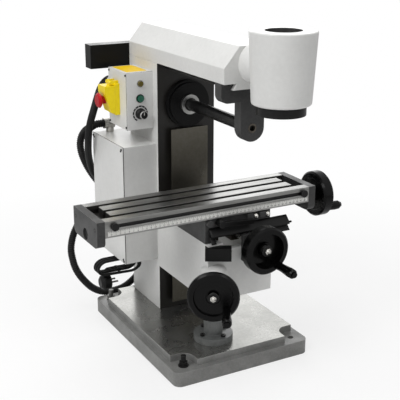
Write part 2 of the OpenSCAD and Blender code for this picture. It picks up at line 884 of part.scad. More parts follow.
module rear_cover() {
    x1 = col_half;
    z0 = col_top - rear_cover_h / 2;
    x0 = x1 - rear_cover_w;
    color("black") difference() {
        block([x0, col_back, z0], [x1, col_back + rear_cover_d, z0 + rear_cover_h]);
        block(
            [x0 + sheet_t, col_back + sheet_t, z0 + sheet_t],
            [x1 - sheet_t, col_back + rear_cover_d + 1, z0 + rear_cover_h - sheet_t]);
    }
}

// Electrical boxes

module cabinet() {
    color("whitesmoke") difference() {
        block([cab_x0 + sheet_t, cab_y0, cabinet_z], [-col_half, cab_y1, cab_top]);
        block(
            [cab_x0 - 1, cab_y0 + sheet_t, cabinet_z + sheet_t],
            [-col_half - sheet_t, cab_y1 - sheet_t, cab_top - sheet_t]);
    }
}

module cabinet_cover() {
    color("whitesmoke") block([cab_x0, cab_y0, cabinet_z], [cab_x0 + sheet_t, cab_y1, cab_top]);
}

module control_box() {
    color("whitesmoke") difference() {
        block([box_x0, box_y0 + sheet_t, box_z], [-col_half, box_y1, box_top]);
        block(
            [box_x0 + sheet_t, box_y0, box_z + sheet_t],
            [-col_half - sheet_t, box_y1 - sheet_t, box_top - sheet_t]);
    }
}

module control_panel() {
    color("whitesmoke") difference() {
        block([box_x0, box_y0, box_z], [-col_half, box_y0 + sheet_t, box_top]);
        rod_y(panel_x, start_z, box_y0 - 1, box_y0 + sheet_t + 1, start_r + air_gap);
        rod_y(panel_x, knob_z, box_y0 - 1, box_y0 + sheet_t + 1, knob_stem_r + run_fit);
    }
}

module panel_screws() {
    inset = 6;
    head_h = 1.6;
    color("black") {
        for (y = [cab_y0 + inset, cab_y1 - inset], z = [cabinet_z + inset, cab_top - inset])
            rod_x(y, z, cab_x0 - head_h, cab_x0, 3);
        for (y = [box_y0 + inset, box_y1 - inset], z = [box_z + inset, box_top - inset])
            rod_x(y, z, box_x0 - head_h, box_x0, 2.5);
    }
}

module indicator_lamp() {
    color("olive") rod_y(panel_x, lamp_z, box_y0 - 4, box_y0, 8);
    color("olive") rod_y(panel_x, lamp_z, box_y0 - 7, box_y0 - 4 + eps, 6);
}

module switch_base() {
    color("gold") {
        block(
            [box_x0 - switch_t, switch_y - switch_half, switch_z0],
            [box_x0, switch_y + switch_half, switch_z1]);
        for (s = [-1, 1]) switch_ear(switch_y + s * ear_out - ear_w / 2, switch_y + s * ear_out + ear_w / 2);
    }
}

// Ear that carries the end of the flap's pin
module switch_ear(y0, y1) {
    difference() {
        union() {
            rod_y(pivot_x, pivot_z, y0, y1, ear_r);
            block([pivot_x, y0, pivot_z - ear_r], [box_x0, y1, pivot_z + ear_r]);
        }
        rod_y(pivot_x, pivot_z, y0 - 1, y1 + 1, ear_pin_r + run_fit);
    }
}

module switch_flap() {
    color("gold") difference() {
        union() {
            along_y(switch_y - switch_half, switch_y + switch_half) polygon([
                [flap_x, flap_top], [flap_nose, flap_top], [flap_nose, flap_top - flap_lip],
                [flap_x - flap_foot_t, flap_foot + 2], [flap_x, flap_foot]
            ]);
            rod_y(pivot_x, pivot_z, switch_y - knuckle_half, switch_y + knuckle_half, knuckle_r);
            rod_y(pivot_x, pivot_z, switch_y - ear_pin_half, switch_y + ear_pin_half, ear_pin_r);
            block(
                [pivot_x - knuckle_r, switch_y - knuckle_half, flap_top - 1],
                [pivot_x, switch_y + knuckle_half, pivot_z]);
        }
        rod_x(switch_y, stop_z, flap_nose - 1, flap_x + 1, stem_r + air_gap);
    }
}

module stop_button() {
    back = flap_nose - 4;
    color("crimson") {
        rod_x(switch_y, stop_z, back - 4, flap_x - stop_travel - 1, stem_r);
        translate([back - 9, switch_y, stop_z]) rotate([0, 90, 0]) rotate_extrude() polygon([
            [0, 0], [stop_r - 5, 0], [stop_r - 1, 3], [stop_r, 6], [stop_r - 3, 9], [0, 9]
        ]);
    }
}

module speed_knob() {
    color("black") {
        rod_y(panel_x, knob_z, box_y0 - knob_len, box_y0 - air_gap, knob_r);
        rod_y(panel_x, knob_z, box_y0 - skirt_len, box_y0 - air_gap, knob_r + skirt_out);
        rod_y(panel_x, knob_z, box_y0 - air_gap - eps, box_y0 + knob_stem_len, knob_stem_r);
    }
}

module start_button() {
    color("seagreen") rod_y(panel_x, start_z, box_y0 - 6, box_y0 + 16, start_r);
}

// Hoses and the mains lead

module cable_glands() {
    color("silver") {
        for (g = [[upper_foot, hose_r], [conduit_end, conduit_r], [conduit_foot, conduit_r],
                  [lower_end, hose_r], [lower_foot, hose_r]])
            translate(g[0]) rotate([-90, 0, 0]) gland(g[1]);
        elbow();
        translate(lead_end) rotate([180, 0, 0]) gland(lead_r);
    }
}

// Elbow from the cabinet's top to the upper hose
module elbow() {
    stub = upper_end + [hose_r + gland_wall + 4, 0, 0];
    difference() {
        union() {
            translate([stub[0], stub[1], cab_top]) cylinder(r = hose_r, h = upper_end[2] - cab_top);
            rod_x(stub[1], upper_end[2], upper_end[0], stub[0] + hose_r, hose_r + gland_wall);
        }
        rod_x(stub[1], upper_end[2], upper_end[0] - 1, stub[0], hose_r / 2);
    }
}

// Ring of a gland on local +Z
module gland(r) {
    difference() {
        cylinder(r = r + gland_wall, h = gland_len);
        translate([0, 0, -1]) cylinder(r = r / 2, h = gland_len + 2);
    }
}

module upper_hose() {
    color("black") ribbed_hose(upper_route, upper_ribs);
}

module lower_hose() {
    color("black") ribbed_hose(lower_route, lower_ribs);
}

module conduit() {
    curve = course(conduit_route, 34);
    color("black") tube(curve, [for (c = curve) conduit_r], 10, 0, [0, 0, 1]);
}

module mains_lead() {
    color("black") tube(lead_curve, [for (p = lead_curve) lead_r], 6, 0, [0, 1, 0]);
}

module mains_plug() {
    color("black") translate(plug_at) {
        rotate([0, 90, 0]) translate([0, 0, -12]) rotate_extrude() polygon([
            [0, 0], [plug_r - 7, 0], [plug_r - 2, 4], [plug_r, 8], [plug_r, 26], [0, 26]
        ]);
        for (y = [-9.5, 9.5]) rod_x(y, 0, 14 - eps, 33, 2.4);
    }
}

// Horizontal spindle and its drive

module spindle() {
    color("silver") difference() {
        union() {
            rod_y(0, spindle_z, nose_front, flange_front + 4, nose_r);
            rod_y(0, spindle_z, flange_front, pulley_y0 + pulley_w, spindle_r);
        }
        rod_y(0, spindle_z, nose_front - 1, nose_front + 5, root_r + run_fit);
        rod_y(0, spindle_z, nose_front - 1, socket_y, shank_r + run_fit);
    }
}

module arbor() {
    y0 = arbor_nut_y + arbor_nut_t;
    step = (nose_front - 2 - y0) / collar_count;
    color("black") {
        rod_y(0, spindle_z, bracket_y0 + 8, arbor_nut_y + eps, journal_r);
        translate([0, y0, spindle_z]) rotate([90, 0, 0]) cylinder(r = 15, h = arbor_nut_t, $fn = 6);
        rod_y(0, spindle_z, y0 - eps, nose_front, arbor_r - 0.6);
        for (i = [0:collar_count - 1])
            rod_y(0, spindle_z, y0 + i * step + collar_groove, y0 + (i + 1) * step, arbor_r);
        rod_y(0, spindle_z, nose_front - 2, nose_front + 5, root_r);
        rod_y(0, spindle_z, nose_front, socket_y, shank_r);
    }
}

module spindle_pulley() {
    color("dimgray") difference() {
        rod_y(0, spindle_z, pulley_y0, pulley_y0 + pulley_w, spindle_pulley_r);
        rod_y(0, spindle_z, pulley_y0 - 1, pulley_y0 + pulley_w + 1, spindle_r);
    }
}

module motor_pulley() {
    color("dimgray") {
        rod_y(0, motor_z, pulley_y0, pulley_y0 + pulley_w, motor_pulley_r);
        rod_y(0, motor_z, motor_y0 + rotor_in, pulley_y0 + eps, shaft_r);
    }
}

// Arbor support

module arbor_bracket() {
    half = bracket_w / 2;
    foot = bracket_top - bracket_block_h;
    arm_half = bracket_arm_w / 2;
    color("dimgray") difference() {
        union() {
            block(
                [-half + bracket_corner_r, bracket_y0, foot],
                [half - bracket_corner_r, bracket_y1, bracket_top]);
            block([-half, bracket_y0, foot + bracket_corner_r], [half, bracket_y1, bracket_top]);
            for (s = [-1, 1]) translate([s * (half - bracket_corner_r), 0, foot + bracket_corner_r])
                rod_y(0, 0, bracket_y0, bracket_y1, bracket_corner_r);
            block([-arm_half, bracket_y0, spindle_z], [arm_half, bracket_y1, foot + 1]);
            rod_y(0, spindle_z, bracket_y0, bracket_y1, arm_half);
        }
        along_y(bracket_y0 - 1, bracket_y1 + 1) mirror([0, 1]) tail(
            tail_half + slide_fit, tail_neck + slide_fit, -col_top, arm_tail_h + slide_fit);
        rod_y(0, spindle_z, bracket_y0 - 1, bracket_y1 + 1, bush_r);
    }
}

module bracket_bush() {
    color("silver") difference() {
        rod_y(0, spindle_z, bracket_y0, bracket_y1, bush_r);
        rod_y(0, spindle_z, bracket_y0 - 1, bracket_y1 + 1, bush_hole);
    }
}

// Vertical head

module head() {
    boss_back = arm_front - air_gap;
    lower_seat = head_z + 2 + quill_bearing_w;
    color("whitesmoke") difference() {
        union() {
            translate([0, head_y, head_z]) rotate_extrude($fn = 128) polygon(concat(
                [[0, 0]],
                [for (a = [-90:15:0]) [head_foot_r, head_edge] + head_edge * [cos(a) - 1, sin(a)]],
                [for (a = [0:15:90]) [head_top_r, head_h - head_lip] + head_lip * [cos(a) - 1, sin(a)]],
                [[0, head_h]]));
            rod_y(0, swivel_z, head_y, boss_back, swivel_boss_r);
        }
        translate([0, head_y, head_floor]) cylinder(r = head_hole_r, h = head_hole_depth + 40);
        translate([0, head_y, head_z - 1]) cylinder(r = quill_r + 3, h = head_h);
        translate([0, head_y, head_z + 2]) cylinder(r = quill_bearing_r, h = quill_bearing_w);
        translate([0, head_y, head_z - 1]) cylinder(r = quill_bearing_r, h = 4);
        translate([0, head_y, head_floor - quill_bearing_w])
            cylinder(r = quill_bearing_r, h = quill_bearing_w + 1);
        rod_y(0, swivel_z, boss_back - swivel_stud_len - 1, boss_back + 1, swivel_stud_r + run_fit);
    }
}

module head_bearings() {
    color("silver") for (z = [head_z + 2, head_floor - quill_bearing_w]) translate([0, head_y, z])
        difference() {
            cylinder(r = quill_bearing_r, h = quill_bearing_w);
            translate([0, 0, -1]) cylinder(r = quill_r + run_fit, h = quill_bearing_w + 2);
        }
}

module spindle_cap() {
    color("black") translate([0, head_y, head_z - cap_h]) difference() {
        cylinder(r = cap_r, h = cap_h);
        translate([0, 0, -1]) cylinder(r = quill_r + 1, h = cap_h + 2);
    }
}

module vertical_spindle() {
    color("silver") translate([0, head_y, quill_foot]) difference() {
        cylinder(r = quill_r, h = quill_top - quill_foot);
        translate([0, 0, -1]) cylinder(r = socket_r, h = socket_depth + 1);
    }
}

// Knee and lifting gear

module knee() {
    color("whitesmoke") difference() {
        union() {
            block([-knee_half, knee_y0, knee_z], [knee_half, knee_y1, knee_top]);
            for (s = [0, 1]) mirror([s, 0, 0]) along_y(knee_y0 + rail_back, knee_y1) polygon([
                [channel_half, knee_top - eps], [rail_root, knee_top - eps],
                [rail_half, rail_top], [channel_half, rail_top]
            ]);
            translate(turret_at + [0, 0, knee_z]) turret();
            translate([lift_x, lift_y, crank_z]) facing(-crank_angle) translate([0, 0, turret_reach])
                cylinder(r = boss_r, h = boss_face - turret_reach);
        }
        knee_hollow();
        translate([lift_x, lift_y, crank_z]) facing(-crank_angle)
            cylinder(r = crank_r + run_fit, h = boss_face + 10);
        translate([lift_x, lift_y, knee_z - 1]) cylinder(r = lift_r + run_fit, h = floor_t + 2);
        translate([0, 0, knee_z - 1]) linear_extrude(rail_top - knee_z + 2) knee_slot();
        rod_y(cross_x, cross_z, knee_y0 - 1, knee_y0 + front_wall_t + 1, screw_r + 1);
    }
}

// Round housing with a domed top for the bevel gears
module turret() {
    dome_h = 18;
    rotate_extrude($fn = 96) polygon(concat(
        [[0, 0], [turret_r, 0]],
        [for (a = [0:15:90]) [turret_r * cos(a), turret_h + dome_h * sin(a)]]));
}

// Inside of the knee, open below behind the gears, and the channel through its top
module knee_hollow() {
    inner = knee_half - knee_wall;
    y0 = knee_y0 + front_wall_t;
    y1 = knee_y1 - back_wall_t;
    block([-inner, y0, knee_z + floor_t], [inner, y1, knee_top - strip_t]);
    block([-inner, lift_y + floor_span, knee_z - 1], [inner, y1, knee_z + floor_t + 1]);
    block([-channel_half, y0, knee_z + knee_h / 2], [channel_half, y1, rail_top + 1]);
    block([-channel_half, knee_y0 - 1, knee_top - front_drop], [channel_half, y0 + 1, rail_top + 1]);
}

// Plan of the dovetail slot in the knee's back, with room for the gib on the right
module knee_slot() {
    half = way_w / 2 + slide_fit;
    deep = way_face - slide_fit;
    drop = (knee_y1 + 1 - deep) * tilt;
    polygon([
        [-half, deep], [half + gib_t + slide_fit, deep],
        [half + gib_t + slide_fit - drop, knee_y1 + 1], [-half + drop, knee_y1 + 1]
    ]);
}

module knee_gib() {
    left = way_w / 2 + slide_fit;
    drop = (knee_y1 - way_face) * tilt;
    color("gray") translate([0, 0, knee_z]) linear_extrude(knee_h) polygon([
        [left, way_face], [left + gib_t, way_face], [left + gib_t - drop, knee_y1], [left - drop, knee_y1]
    ]);
}

module cross_bracket() {
    half = dial_r + 3;
    color("black") difference() {
        block(
            [cross_x - half, knee_y0 - cross_bracket_t, cross_z - half - 10],
            [cross_x + half, knee_y0, cross_z + dial_r - 1]);
        rod_y(cross_x, cross_z, knee_y0 - cross_bracket_t - 1, knee_y0 + 1, screw_r + run_fit);
    }
}

module gear_cover() {
    foot = knee_z + turret_h + gear_cover_rise;
    color("black") difference() {
        translate([lift_x, lift_y, foot]) rotate(-crank_angle)
            block(
                [gear_cover_x0, -turret_reach - gear_cover_d, 0],
                [gear_cover_x1, -turret_reach, knee_top - gear_cover_drop - foot]);
        block([-knee_half, knee_y0, 0], [knee_half, knee_y1, knee_top]);
    }
}

module lift_handwheel() {
    color("black") translate([lift_x, lift_y, crank_z]) facing(-crank_angle) translate([0, 0, lift_wheel_s])
        handwheel(lift_wheel_d, lift_wheel_w, crank_r, lift_reach, lift_pin_angle);
}

module crank_shaft() {
    end = lift_wheel_s + lift_wheel_w - hub_recess(lift_wheel_w);
    color("silver") translate([lift_x, lift_y, crank_z]) facing(-crank_angle) {
        translate([0, 0, bevel_r * 0.6]) cylinder(r1 = pinion_r * 0.6, r2 = pinion_r, h = bevel_r * 0.4);
        translate([0, 0, bevel_r - eps]) cylinder(r = crank_r, h = end - bevel_r + eps);
        translate([0, 0, boss_face + air_gap])
            cylinder(r = crank_r + 5, h = lift_wheel_s - lift_reach - boss_face - air_gap);
        translate([0, 0, end - eps]) cylinder(r = cap_screw_r + 2, h = 3);
        translate([0, 0, end + 3 - 2 * eps]) cylinder(r = cap_screw_r - 1, h = 5, $fn = 6);
    }
}

module lift_grip() {
    color("black") translate([lift_x, lift_y, crank_z]) facing(-crank_angle) translate([0, 0, lift_wheel_s])
        grip(lift_wheel_w, lift_pin_angle);
}

module lift_screw() {
    color("silver") translate([lift_x, lift_y, 0]) {
        translate([0, 0, lift_bottom]) cylinder(r = lift_r, h = bevel_z - lift_bottom);
        translate([0, 0, knee_z + floor_t + air_gap])
            cylinder(r = bevel_r * 0.7, h = bevel_z - knee_z - floor_t - air_gap);
        translate([0, 0, bevel_z - eps]) cylinder(r1 = bevel_r, r2 = bevel_r * 0.6, h = pinion_r * 0.4);
    }
}

module lift_pedestal() {
    color("darkgray") translate([lift_x, lift_y, base_h]) difference() {
        union() {
            cylinder(r = pedestal_flange_r, h = pedestal_flange_t);
            cylinder(r = pedestal_r, h = pedestal_h);
        }
        translate([0, 0, -1]) cylinder(r = lift_r + lift_room, h = pedestal_h - nut_h + 1);
        translate([0, 0, -1]) cylinder(r = lift_r + run_fit, h = pedestal_h + 2);
    }
}

module frame_bolts() {
    socket_r = 3;
    color("black") {
        for (a = [13:90:283]) translate([lift_x, lift_y, base_h + pedestal_flange_t]) rotate(a)
            translate([(pedestal_flange_r + pedestal_r) / 2, 0, 0]) difference() {
                cylinder(r = 5.5, h = 5);
                translate([0, 0, 2]) cylinder(r = socket_r, h = 4, $fn = 6);
            }
        for (y = [-1, 1]) translate([-bolt_x, y * bolt_y, 0]) hold_down_bolt();
    }
}

// Stud through the base with its washer and nut
module hold_down_bolt() {
    translate([0, 0, 6]) cylinder(r = bolt_hole_d / 2 - 1, h = rim_h + 20);
    translate([0, 0, rim_h]) cylinder(r = bolt_hole_d / 2 + 5, h = 2);
    translate([0, 0, rim_h + 2 - eps]) cylinder(r = bolt_hole_d / 2 + 3.5, h = 9, $fn = 6);
}

// Saddle

module saddle() {
    half = knee_half + 1;
    color("dimgray") difference() {
        union() {
            block([-half, saddle_y0, saddle_z0], [half, saddle_y1, saddle_top]);
            translate([0, table_y, 0]) along_x(-half, half)
                tail(slide_tail_half, slide_tail_root, saddle_top - eps, slide_tail_h);
            rod_y(saddle_knob_x, saddle_knob_z, saddle_y0 - clamp_out, saddle_y0 + 1, saddle_knob_r);
            for (x = clamp_x) block(
                [x, saddle_y0 - clamp_out, saddle_top - clamp_h - 2],
                [x + clamp_w, saddle_y0 + 1, saddle_top - 2]);
        }
        along_y(saddle_y0 - 1, saddle_y1 + 1)
            tail(rail_half + slide_fit, rail_root + slide_fit, knee_top, rail_h + slide_fit);
        rod_x(table_y, feed_z, -half - 1, half + 1, feed_nut_r);
        rod_y(lever_x, lever_z, saddle_y0 - 1, saddle_y0 + lever_bore_len, lever_stem_r + run_fit);
    }
}

module way_cover() {
    at = [saddle_y0, knee_top - cover_drop];
    hem = at + hem_at;
    color("black") difference() {
        union() {
            along_x(cover_in - knee_half, knee_half + cover_reach) translate(at) polygon(cover_upper);
            along_x(cover_in - knee_half, knee_half + leaf_reach) translate(at) polygon(cover_lower);
            rod_x(hem[0], hem[1], hem_in - knee_half, knee_half + hem_reach, hem_r);
        }
        block([-rail_half - 2, saddle_y0 - cover_cut, knee_z], [rail_half + 6, saddle_y0 + 1, rail_top + 1.5]);
    }
}

module screw_nuts() {
    top = rail_top + slide_fit;
    color("peru") {
        difference() {
            rod_x(table_y, feed_z, -nut_len / 2, nut_len / 2, feed_nut_r);
            rod_x(table_y, feed_z, -nut_len, nut_len, screw_r + run_fit);
        }
        difference() {
            block(
                [cross_x - cross_nut_half, cross_nut_y, cross_z - cross_nut_half],
                [cross_x + cross_nut_half, cross_nut_y + cross_nut_len, top]);
            rod_y(cross_x, cross_z, cross_nut_y - 1, cross_nut_y + cross_nut_len + 1, screw_r + run_fit);
        }
    }
}

module saddle_lock() {
    y1 = saddle_y0 - air_gap;
    y0 = y1 - lever_hub_len;
    color("black") {
        rod_y(lever_x, lever_z, y0, y1, lever_hub_r);
        rod_y(lever_x, lever_z, y1 - eps, saddle_y0 + lever_stem_len, lever_stem_r);
        translate([lever_x, y0, lever_z]) rotate([0, lever_droop, 0])
            block([0, 0, -lever_h / 2], [lever_len, lever_t, lever_h / 2]);
    }
}

// Table

module table() {
    color("silver") difference() {
        block([table_x0, table_y0, table_z0], [table_x1, table_y1, table_top]);
        for (i = [-1:1]) translate([0, table_y + i * slot_pitch, 0]) {
            block([table_x0 - 1, -slot_w / 2, slot_floor + 1], [table_x1 + 1, slot_w / 2, table_top + 1]);
            block(
                [table_x0 - 1, -slot_foot_w / 2, slot_floor],
                [table_x1 + 1, slot_foot_w / 2, slot_floor + slot_foot_h]);
        }
        for (x = [table_x0 - 1, table_x1 - pocket_len]) block(
            [x, table_y - slot_pitch - slot_w / 2, slot_floor],
            [x + pocket_len + 1, table_y + slot_pitch + slot_w / 2, table_top + 1]);
        translate([0, table_y, 0]) along_x(table_x0 - 1, table_x1 + 1) tail(
            slide_tail_half + slide_fit + air_gap * tilt, slide_tail_root + slide_fit,
            table_z0 - air_gap, slide_tail_h + air_gap + slide_fit);
        block(
            [table_x0 + stop_left - groove_past, table_y0 - 1, groove_z - groove_h / 2],
            [table_x1 - stop_right + groove_past, table_y0 + groove_depth, groove_z + groove_h / 2]);
    }
}

module table_ends() {
    z0 = table_top - end_h;
    color("dimgray") difference() {
        union() {
            for (x = [table_x0 - end_t, table_x1]) {
                block([x, table_y0, z0 + end_corner_r], [x + end_t, table_y1, table_top]);
                block([x, table_y0 + end_corner_r, z0], [x + end_t, table_y1 - end_corner_r, table_top]);
                for (y = [table_y0 + end_corner_r, table_y1 - end_corner_r])
                    rod_x(y, z0 + end_corner_r, x, x + end_t, end_corner_r);
            }
            rod_x(table_y, feed_z, table_x1 + end_t - eps, table_x1 + end_t + feed_flange_t, dial_r - 3);
        }
        rod_x(table_y, feed_z, table_x0 - end_t - 1, table_x1 + end_t + feed_flange_t + 1, screw_r + run_fit);
        rod_x(table_y, feed_z, table_x0 - end_t - 1, table_x0 - end_t + end_recess, end_recess_r);
    }
}

module table_stops() {
    color("black") for (x = [table_x0 + stop_left, table_x1 - stop_right]) {
        rod_y(x, groove_z, table_y0 - 6, table_y0, stop_knob_r);
        rod_y(x, groove_z, table_y0 - eps, table_y0 + groove_depth - air_gap, stop_rod_r);
    }
}

module table_ruler() {
    color("gainsboro") block(
        [table_x0 + 6, table_y0 - ruler_t, table_z0 + ruler_foot],
        [table_x1 - 4, table_y0, table_z0 + ruler_foot + ruler_h]);
}

module feed_handwheel() {
    color("black") translate([feed_wheel_x, table_y, feed_z]) facing(90)
        handwheel(wheel_d, wheel_w, screw_r, hub_reach, feed_pin_angle);
}

module feed_screw() {
    end = feed_wheel_x + wheel_w - hub_recess(wheel_w);
    dial_x = feed_wheel_x - hub_reach;
    color("silver") {
        rod_x(table_y, feed_z, table_x0 - end_t + end_recess + 2, end, screw_r);
        rod_x(table_y, feed_z, dial_x - feed_dial_t + air_gap, dial_x, dial_r);
        rod_x(table_y, feed_z, end - eps, end + 3, cap_screw_r + 2);
        translate([end + 3 - eps, table_y, feed_z]) rotate([0, 90, 0])
            cylinder(r = cap_screw_r - 1, h = 5, $fn = 6);
    }
}

module feed_grip() {
    color("black") translate([feed_wheel_x, table_y, feed_z]) facing(90) grip(wheel_w, feed_pin_angle);
}

// Cross feed

module cross_handwheel() {
    color("black") translate([cross_x, cross_wheel_y, cross_z]) facing(0)
        handwheel(wheel_d, wheel_w, screw_r, hub_reach, cross_pin_angle);
}

module cross_screw() {
    end = cross_wheel_y - wheel_w + hub_recess(wheel_w);
    dial_y = cross_wheel_y + hub_reach;
    color("silver") {
        rod_y(cross_x, cross_z, end, cross_end, screw_r);
        rod_y(cross_x, cross_z, dial_y, dial_y + cross_dial_t - air_gap, dial_r);
        rod_y(cross_x, cross_z, end - 3, end + eps, cap_screw_r + 2);
        translate([cross_x, end - 3 + eps, cross_z]) rotate([90, 0, 0])
            cylinder(r = cap_screw_r - 1, h = 5, $fn = 6);
    }
}

module cross_grip() {
    color("black") translate([cross_x, cross_wheel_y, cross_z]) facing(0) grip(wheel_w, cross_pin_angle);
}

base();
column();
column_back_plate();
overarm();
spindle_housing();
spindle_bearings();
drive_motor();
drive_belt();
rear_cover();
cabinet();
cabinet_cover();
control_box();
control_panel();
panel_screws();
indicator_lamp();
switch_base();
cable_glands();
upper_hose();
conduit();
lower_hose();
mains_lead();
mains_plug();
lift_pedestal();
frame_bolts();
spindle();
arbor();
spindle_pulley();
motor_pulley();
arbor_bracket();
bracket_bush();
head();
head_bearings();
spindle_cap();
vertical_spindle();
knee();
knee_gib();
cross_bracket();
gear_cover();
lift_handwheel();
crank_shaft();
lift_grip();
lift_screw();
cross_handwheel();
cross_screw();
cross_grip();
saddle();
way_cover();
screw_nuts();
saddle_lock();
table();
table_ends();
table_stops();
table_ruler();
feed_handwheel();
feed_screw();
feed_grip();
speed_knob();
start_button();
switch_flap();
stop_button();
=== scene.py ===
# %% [markdown]
# # Dressing a benchtop milling machine
# The machine is a horizontal mill with a swivelling vertical head: a grey cast base, white painted
# castings, a ground steel table and black handwheels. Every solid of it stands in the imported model
# already, in metres, so this lesson loads that model as a fixed frame, and then gives each piece its
# finish, its rounded edges and the small parts that a plain solid leaves out.

import json
import math

import bmesh
import bpy
from mathutils import Matrix, Vector

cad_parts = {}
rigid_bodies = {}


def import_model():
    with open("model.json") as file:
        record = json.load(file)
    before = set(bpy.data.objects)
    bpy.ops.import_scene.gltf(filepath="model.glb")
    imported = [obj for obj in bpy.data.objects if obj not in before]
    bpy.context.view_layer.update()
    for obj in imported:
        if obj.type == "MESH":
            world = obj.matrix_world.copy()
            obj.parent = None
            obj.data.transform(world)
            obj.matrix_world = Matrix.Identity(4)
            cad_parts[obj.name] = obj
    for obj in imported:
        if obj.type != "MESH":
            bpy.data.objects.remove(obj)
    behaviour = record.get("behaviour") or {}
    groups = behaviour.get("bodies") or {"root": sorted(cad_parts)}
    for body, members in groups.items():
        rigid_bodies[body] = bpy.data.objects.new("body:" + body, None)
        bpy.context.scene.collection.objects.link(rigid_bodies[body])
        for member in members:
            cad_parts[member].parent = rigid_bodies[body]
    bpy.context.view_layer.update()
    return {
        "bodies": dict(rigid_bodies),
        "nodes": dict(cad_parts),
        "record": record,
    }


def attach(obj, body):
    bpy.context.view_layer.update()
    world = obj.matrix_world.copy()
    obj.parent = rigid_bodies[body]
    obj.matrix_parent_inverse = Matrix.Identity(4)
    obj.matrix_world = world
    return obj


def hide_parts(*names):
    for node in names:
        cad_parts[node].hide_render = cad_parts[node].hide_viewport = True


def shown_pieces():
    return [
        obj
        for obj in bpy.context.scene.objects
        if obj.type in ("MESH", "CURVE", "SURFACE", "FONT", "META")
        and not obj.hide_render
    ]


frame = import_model()
MM = 0.001
solids = frame["nodes"]
slot_of = {part["node"]: part["material_slot"] for part in frame["record"]["subparts"]}


def mm(x, y, z):
    """A point or a step that is given in millimetres."""
    return Vector((x, y, z)) * MM


def whole_mm(lengths):
    """Lengths in metres as whole millimetres, to be printed."""
    return [round(length / MM) for length in lengths]


def put_in_scene(name, data):
    """A new object with this data."""
    thing = bpy.data.objects.new(name, data)
    bpy.context.scene.collection.objects.link(thing)
    return thing


# %% [markdown]
# ## The camera
# The view is from the left of the machine's front, and a little above it. A camera can be aimed with a
# constraint, but a matrix made of one turn after the other keeps the heading, the tilt and the slight
# roll as three plain numbers.

# %% Stand the camera at the photo's viewing angle
LENS, SENSOR, FARTHEST = 78.44, 36, 30
CAMERA_AT = (-0.95578, -1.74848, 1.0)
HEADING, TILT, ROLL = (math.radians(angle) for angle in (28.888, 18.197, 0.1555))
camera_data = bpy.data.cameras.new("camera")
camera_data.lens = LENS
camera_data.sensor_width = SENSOR
camera_data.clip_end = FARTHEST
camera = put_in_scene("camera", camera_data)
camera.matrix_world = (
    Matrix.Translation(CAMERA_AT) @ Matrix.Rotation(-HEADING, 4, "Z")
    @ Matrix.Rotation(math.pi / 2 - TILT, 4, "X") @ Matrix.Rotation(ROLL, 4, "Z")
)
bpy.context.scene.camera = camera
print("camera", round(camera.location.length, 3), "m from the middle of the base")

# %% [markdown]
# ## Routes of the hoses
# Three hoses join the boxes at the machine's back, and a mains lead hangs below the cabinet. Each follows
# a list of points in millimetres. A curve object could carry the line, but ribs need rings at even steps,
# so the smooth curve through the points is walked here and cut into equal lengths.

# %% Walk a smooth curve in even steps
ROUTE_STEPS = 400


def curve_point(points, share):
    """A point on the smooth curve through these points, from 0 at the first to 1 at the last."""
    legs = len(points) - 1
    leg = min(int(share * legs), legs - 1)
    t = share * legs - leg
    a, b, c, d = (points[max(0, min(legs, leg + k))] for k in (-1, 0, 1, 2))
    return (2 * b + (c - a) * t + (2 * a - 5 * b + 4 * c - d) * t**2 + (3 * b - a - 3 * c + d) * t**3) / 2


def smooth_route(route):
    """Straight out of the first fitting, smoothly through the route, and straight into the last one."""
    points = [mm(*place) for place in route]
    middle = [curve_point(points[1:-1], i / ROUTE_STEPS) for i in range(ROUTE_STEPS + 1)]
    return [points[0]] + middle + [points[-1]]


def line_length(line):
    """The length of a line of points."""
    return sum((b - a).length for a, b in zip(line, line[1:]))


def even_steps(line, count):
    """The same line as count equal steps."""
    step, walked, made = line_length(line) / count, 0.0, [line[0].copy()]
    for a, b in zip(line, line[1:]):
        reach = (b - a).length
        while len(made) < count and walked + reach >= step * len(made):
            made.append(a.lerp(b, (step * len(made) - walked) / reach))
        walked += reach
    return made[:count] + [line[-1].copy()]


UPPER_HOSE = [
    (-140, 230, 502), (-160, 230, 502), (-168, 241, 494), (-166, 258, 487), (-166, 276, 480),
    (-170, 288, 470), (-175, 297, 454), (-177, 300, 432), (-172, 299, 404), (-156, 296, 366),
    (-132, 290, 328), (-112, 277, 305), (-112, 257, 305),
]
CONDUIT = [
    (-129, 196.5, 615.5), (-129, 214.5, 615.5), (-140, 217, 607), (-154, 211, 592), (-166, 205, 569),
    (-176, 202, 544), (-183, 204, 521), (-186, 212, 495), (-185, 222, 469), (-179, 241, 433),
    (-170, 258, 403), (-159, 270, 374), (-148, 275, 355), (-142, 275, 346), (-142, 257, 346),
]
LOWER_HOSE = [
    (-122, 257, 262), (-122, 277, 262), (-140, 292, 261), (-178, 290, 246), (-212, 274, 214),
    (-230, 258, 176), (-228, 250, 137), (-218, 247, 108), (-200, 246, 80), (-178, 246, 56),
    (-150, 247, 40), (-120, 248, 36), (-88, 250, 40), (-58, 250, 58), (-40, 243.5, 82), (-40, 223.5, 82),
]
for label, route in (("upper hose", UPPER_HOSE), ("conduit", CONDUIT), ("lower hose", LOWER_HOSE)):
    print(label, round(line_length(smooth_route(route)), 3), "m long")

# %% [markdown]
# ## A tube along a line
# A hose is one ring carried along its line. A bevelled curve would do for a smooth one, but here the ring
# is extruded with bmesh step by step, turned to face along the line and scaled, so that the same helper
# makes corrugated hose, plain lead and tapered boots.

# %% Carry a ring along a line
UP = (0, 0, 1)


def add_piece(name, bm, body, sharp=35):
    """Keeps a finished bmesh as a piece that rides on a body, with edges over sharp degrees left hard."""
    mesh = bpy.data.meshes.new(name)
    bm.to_mesh(mesh)
    bm.free()
    mesh.shade_smooth()
    mesh.set_sharp_from_angle(angle=math.radians(sharp))
    piece = put_in_scene(name, mesh)
    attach(piece, body)
    return piece


